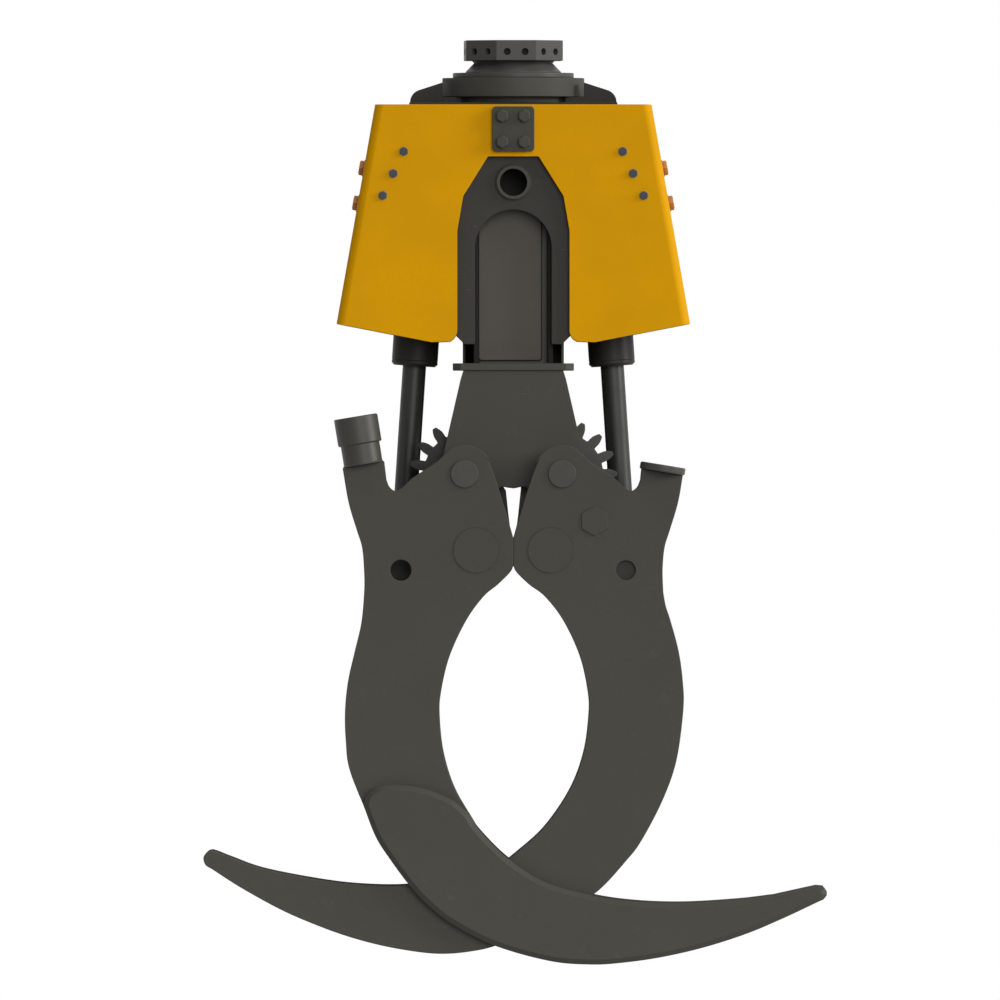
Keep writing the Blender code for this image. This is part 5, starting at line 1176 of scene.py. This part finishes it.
# Cylinders
def dress_cylinders(side, sign):
    lean = about("Y", -sign * LEAN)
    place = move((sign * TOP_PIN_OUT, 0, -TOP_PIN_DROP)) @ lean
    seat = -GLAND_END + GLAND_LENGTH
    profile = [
        (0, -TOP_EYE / 2), (BARREL, -TOP_EYE / 2), (BARREL, seat + FIT), (BARREL_BORE, seat + FIT),
        (BARREL_BORE, -BARREL_HEAD_DROP), (0, -BARREL_HEAD_DROP),
    ]
    eye = bar(TOP_EYE, TOP_EYE_WIDTH / 2, place @ ALONG_Y, ROUND_PIN)
    barrel = carved(turned(profile, place, ROUND_PIN), [eye], "UNION")
    barrel = carved(barrel, [drill(TOP_EYE_BORE, 0.12, place @ ALONG_Y)])
    name = side + "_barrel"
    piece(side + "_cylinder", barrel, "cylinder", name, "cylinder_black", name)

    spigot = BARREL_BORE - FIT
    bore = ROD + FIT
    low = -GLAND_END
    profile = [
        (spigot, seat + GLAND_SPIGOT), (spigot, seat), (GLAND, seat), (GLAND, low + 0.012),
        (GLAND - 0.0008, low + 0.011), (GLAND, low + 0.010), (GLAND, low + GLAND_CUT),
        (GLAND - GLAND_CUT, low), (bore + 0.004, low), (bore + 0.003, low + 0.003),
        (bore, low + 0.003), (bore, seat + GLAND_SPIGOT),
    ]
    mesh = turned(profile, place, ease=0.0006)
    piece(side + "_head_gland", mesh, "cylinder", name, "cylinder_black", side + "_gland")

    stop = seat + GLAND_SPIGOT + 0.002
    top = stop + PISTON_LENGTH + FIT
    foot = -CYLINDER_LENGTH + ROD_EYE / 2
    profile = [
        (0, top), (PISTON_NECK, top), (PISTON_NECK, stop - FIT), (ROD, stop - FIT),
        (ROD, foot), (0, foot),
    ]
    end = place @ move((0, 0, -CYLINDER_LENGTH)) @ ALONG_Y
    eye = bar(ROD_EYE, ROD_EYE_WIDTH / 2, end, ROUND_PIN, 0.002)
    mesh = carved(turned(profile, place, ROUND_PIN), [eye], "UNION")
    mesh = carved(mesh, [drill(ROD_PIN + TURN_FIT, 0.1, end)])
    name = side + "_rod"
    piece(side + "_ram", mesh, "rod", name, "rod_steel", name)
    mesh = collar(spigot, PISTON_NECK + FIT, stop, stop + PISTON_LENGTH, place)
    piece(side + "_ram_piston", mesh, "rod", name, "rod_steel", side + "_piston")


# Light, floor and camera
def make_lamp(name, heading, strength, softness):
    data = bpy.data.lights.new(name, "SUN")
    data.energy = strength
    data.angle = math.radians(softness)
    linked(name, data).rotation_euler = Vector(heading).to_track_quat("-Z", "Y").to_euler()


def make_world(strength):
    """A weak even fill, white where the camera, a reflection or a see-through piece shows it."""
    world = bpy.data.worlds.new("studio")
    world.use_nodes = True
    tree = world.node_tree
    tree.nodes.clear()
    path = tree.nodes.new("ShaderNodeLightPath")
    seen = path.outputs["Is Camera Ray"]
    for output in ("Is Glossy Ray", "Is Transmission Ray"):
        either = tree.nodes.new("ShaderNodeMath")
        either.operation = "MAXIMUM"
        tree.links.new(seen, either.inputs[0])
        tree.links.new(path.outputs[output], either.inputs[1])
        seen = either.outputs[0]
    fill = tree.nodes.new("ShaderNodeBackground")
    fill.inputs["Strength"].default_value = strength
    white = tree.nodes.new("ShaderNodeBackground")
    either = tree.nodes.new("ShaderNodeMixShader")
    tree.links.new(seen, either.inputs[0])
    tree.links.new(fill.outputs[0], either.inputs[1])
    tree.links.new(white.outputs[0], either.inputs[2])
    out = tree.nodes.new("ShaderNodeOutputWorld")
    tree.links.new(either.outputs[0], out.inputs["Surface"])
    for background in (fill, white):
        background.inputs["Color"].default_value = (1, 1, 1, 1)
    bpy.context.scene.world = world


def make_floor():
    body = bmesh.new()
    bmesh.ops.create_grid(body, x_segments=1, y_segments=1, size=2.2)
    mesh = bpy.data.meshes.new("floor")
    body.to_mesh(mesh)
    body.free()
    floor = linked("floor", mesh)
    floor.location = (0, 0.6, -2.02)
    shade = Shade("floor_pale", 0.8)
    shade.shader.inputs["Base Color"].default_value = (0.90, 0.90, 0.90, 1)
    mesh.materials.append(shade.material)


def make_camera():
    """Far off and straight in front, so that the front is seen almost without perspective."""
    data = bpy.data.cameras.new("camera")
    data.lens = 1500
    data.sensor_width = 36
    data.clip_end = 500
    width = 2.0                 # of the view at the grapple
    target = Vector((-0.0266, 0.0, -0.919))
    back = Vector((0, -1, 0))
    camera = linked("camera", data)
    camera.location = target + back * (width * data.lens / data.sensor_width)
    camera.rotation_euler = (-back).to_track_quat("-Z", "Y").to_euler()
    bpy.context.scene.camera = camera


make_camera()
make_world(0.20)
make_lamp("front_light", (-0.25, 0.93, -0.28), 1.85, 40)
make_lamp("right_light", (-0.93, 0.22, -0.29), 3.15, 30)
make_lamp("top_light", (0.0, 0.1, -1.0), 1.0, 50)
make_floor()
dress_head()
dress_deck()
dress_arches()
dress_column()
dress_lower_frame()
dress_guard()
dress_guard_screws()
dress_clamps()
for side, sign in SIDES.items():
    dress_arm_plates(side, sign)
    dress_gears(side, sign)
    dress_shafts(side, sign)
    dress_webs(side, sign)
    dress_cylinders(side, sign)
dress_tines()
dress_stops()
for side in SIDES:
    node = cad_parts[side + "_guard_bracket"]
    for spot in node.material_slots:
        spot.material = LOOKS["housing"]
bpy.context.scene.view_settings.view_transform = "Standard"
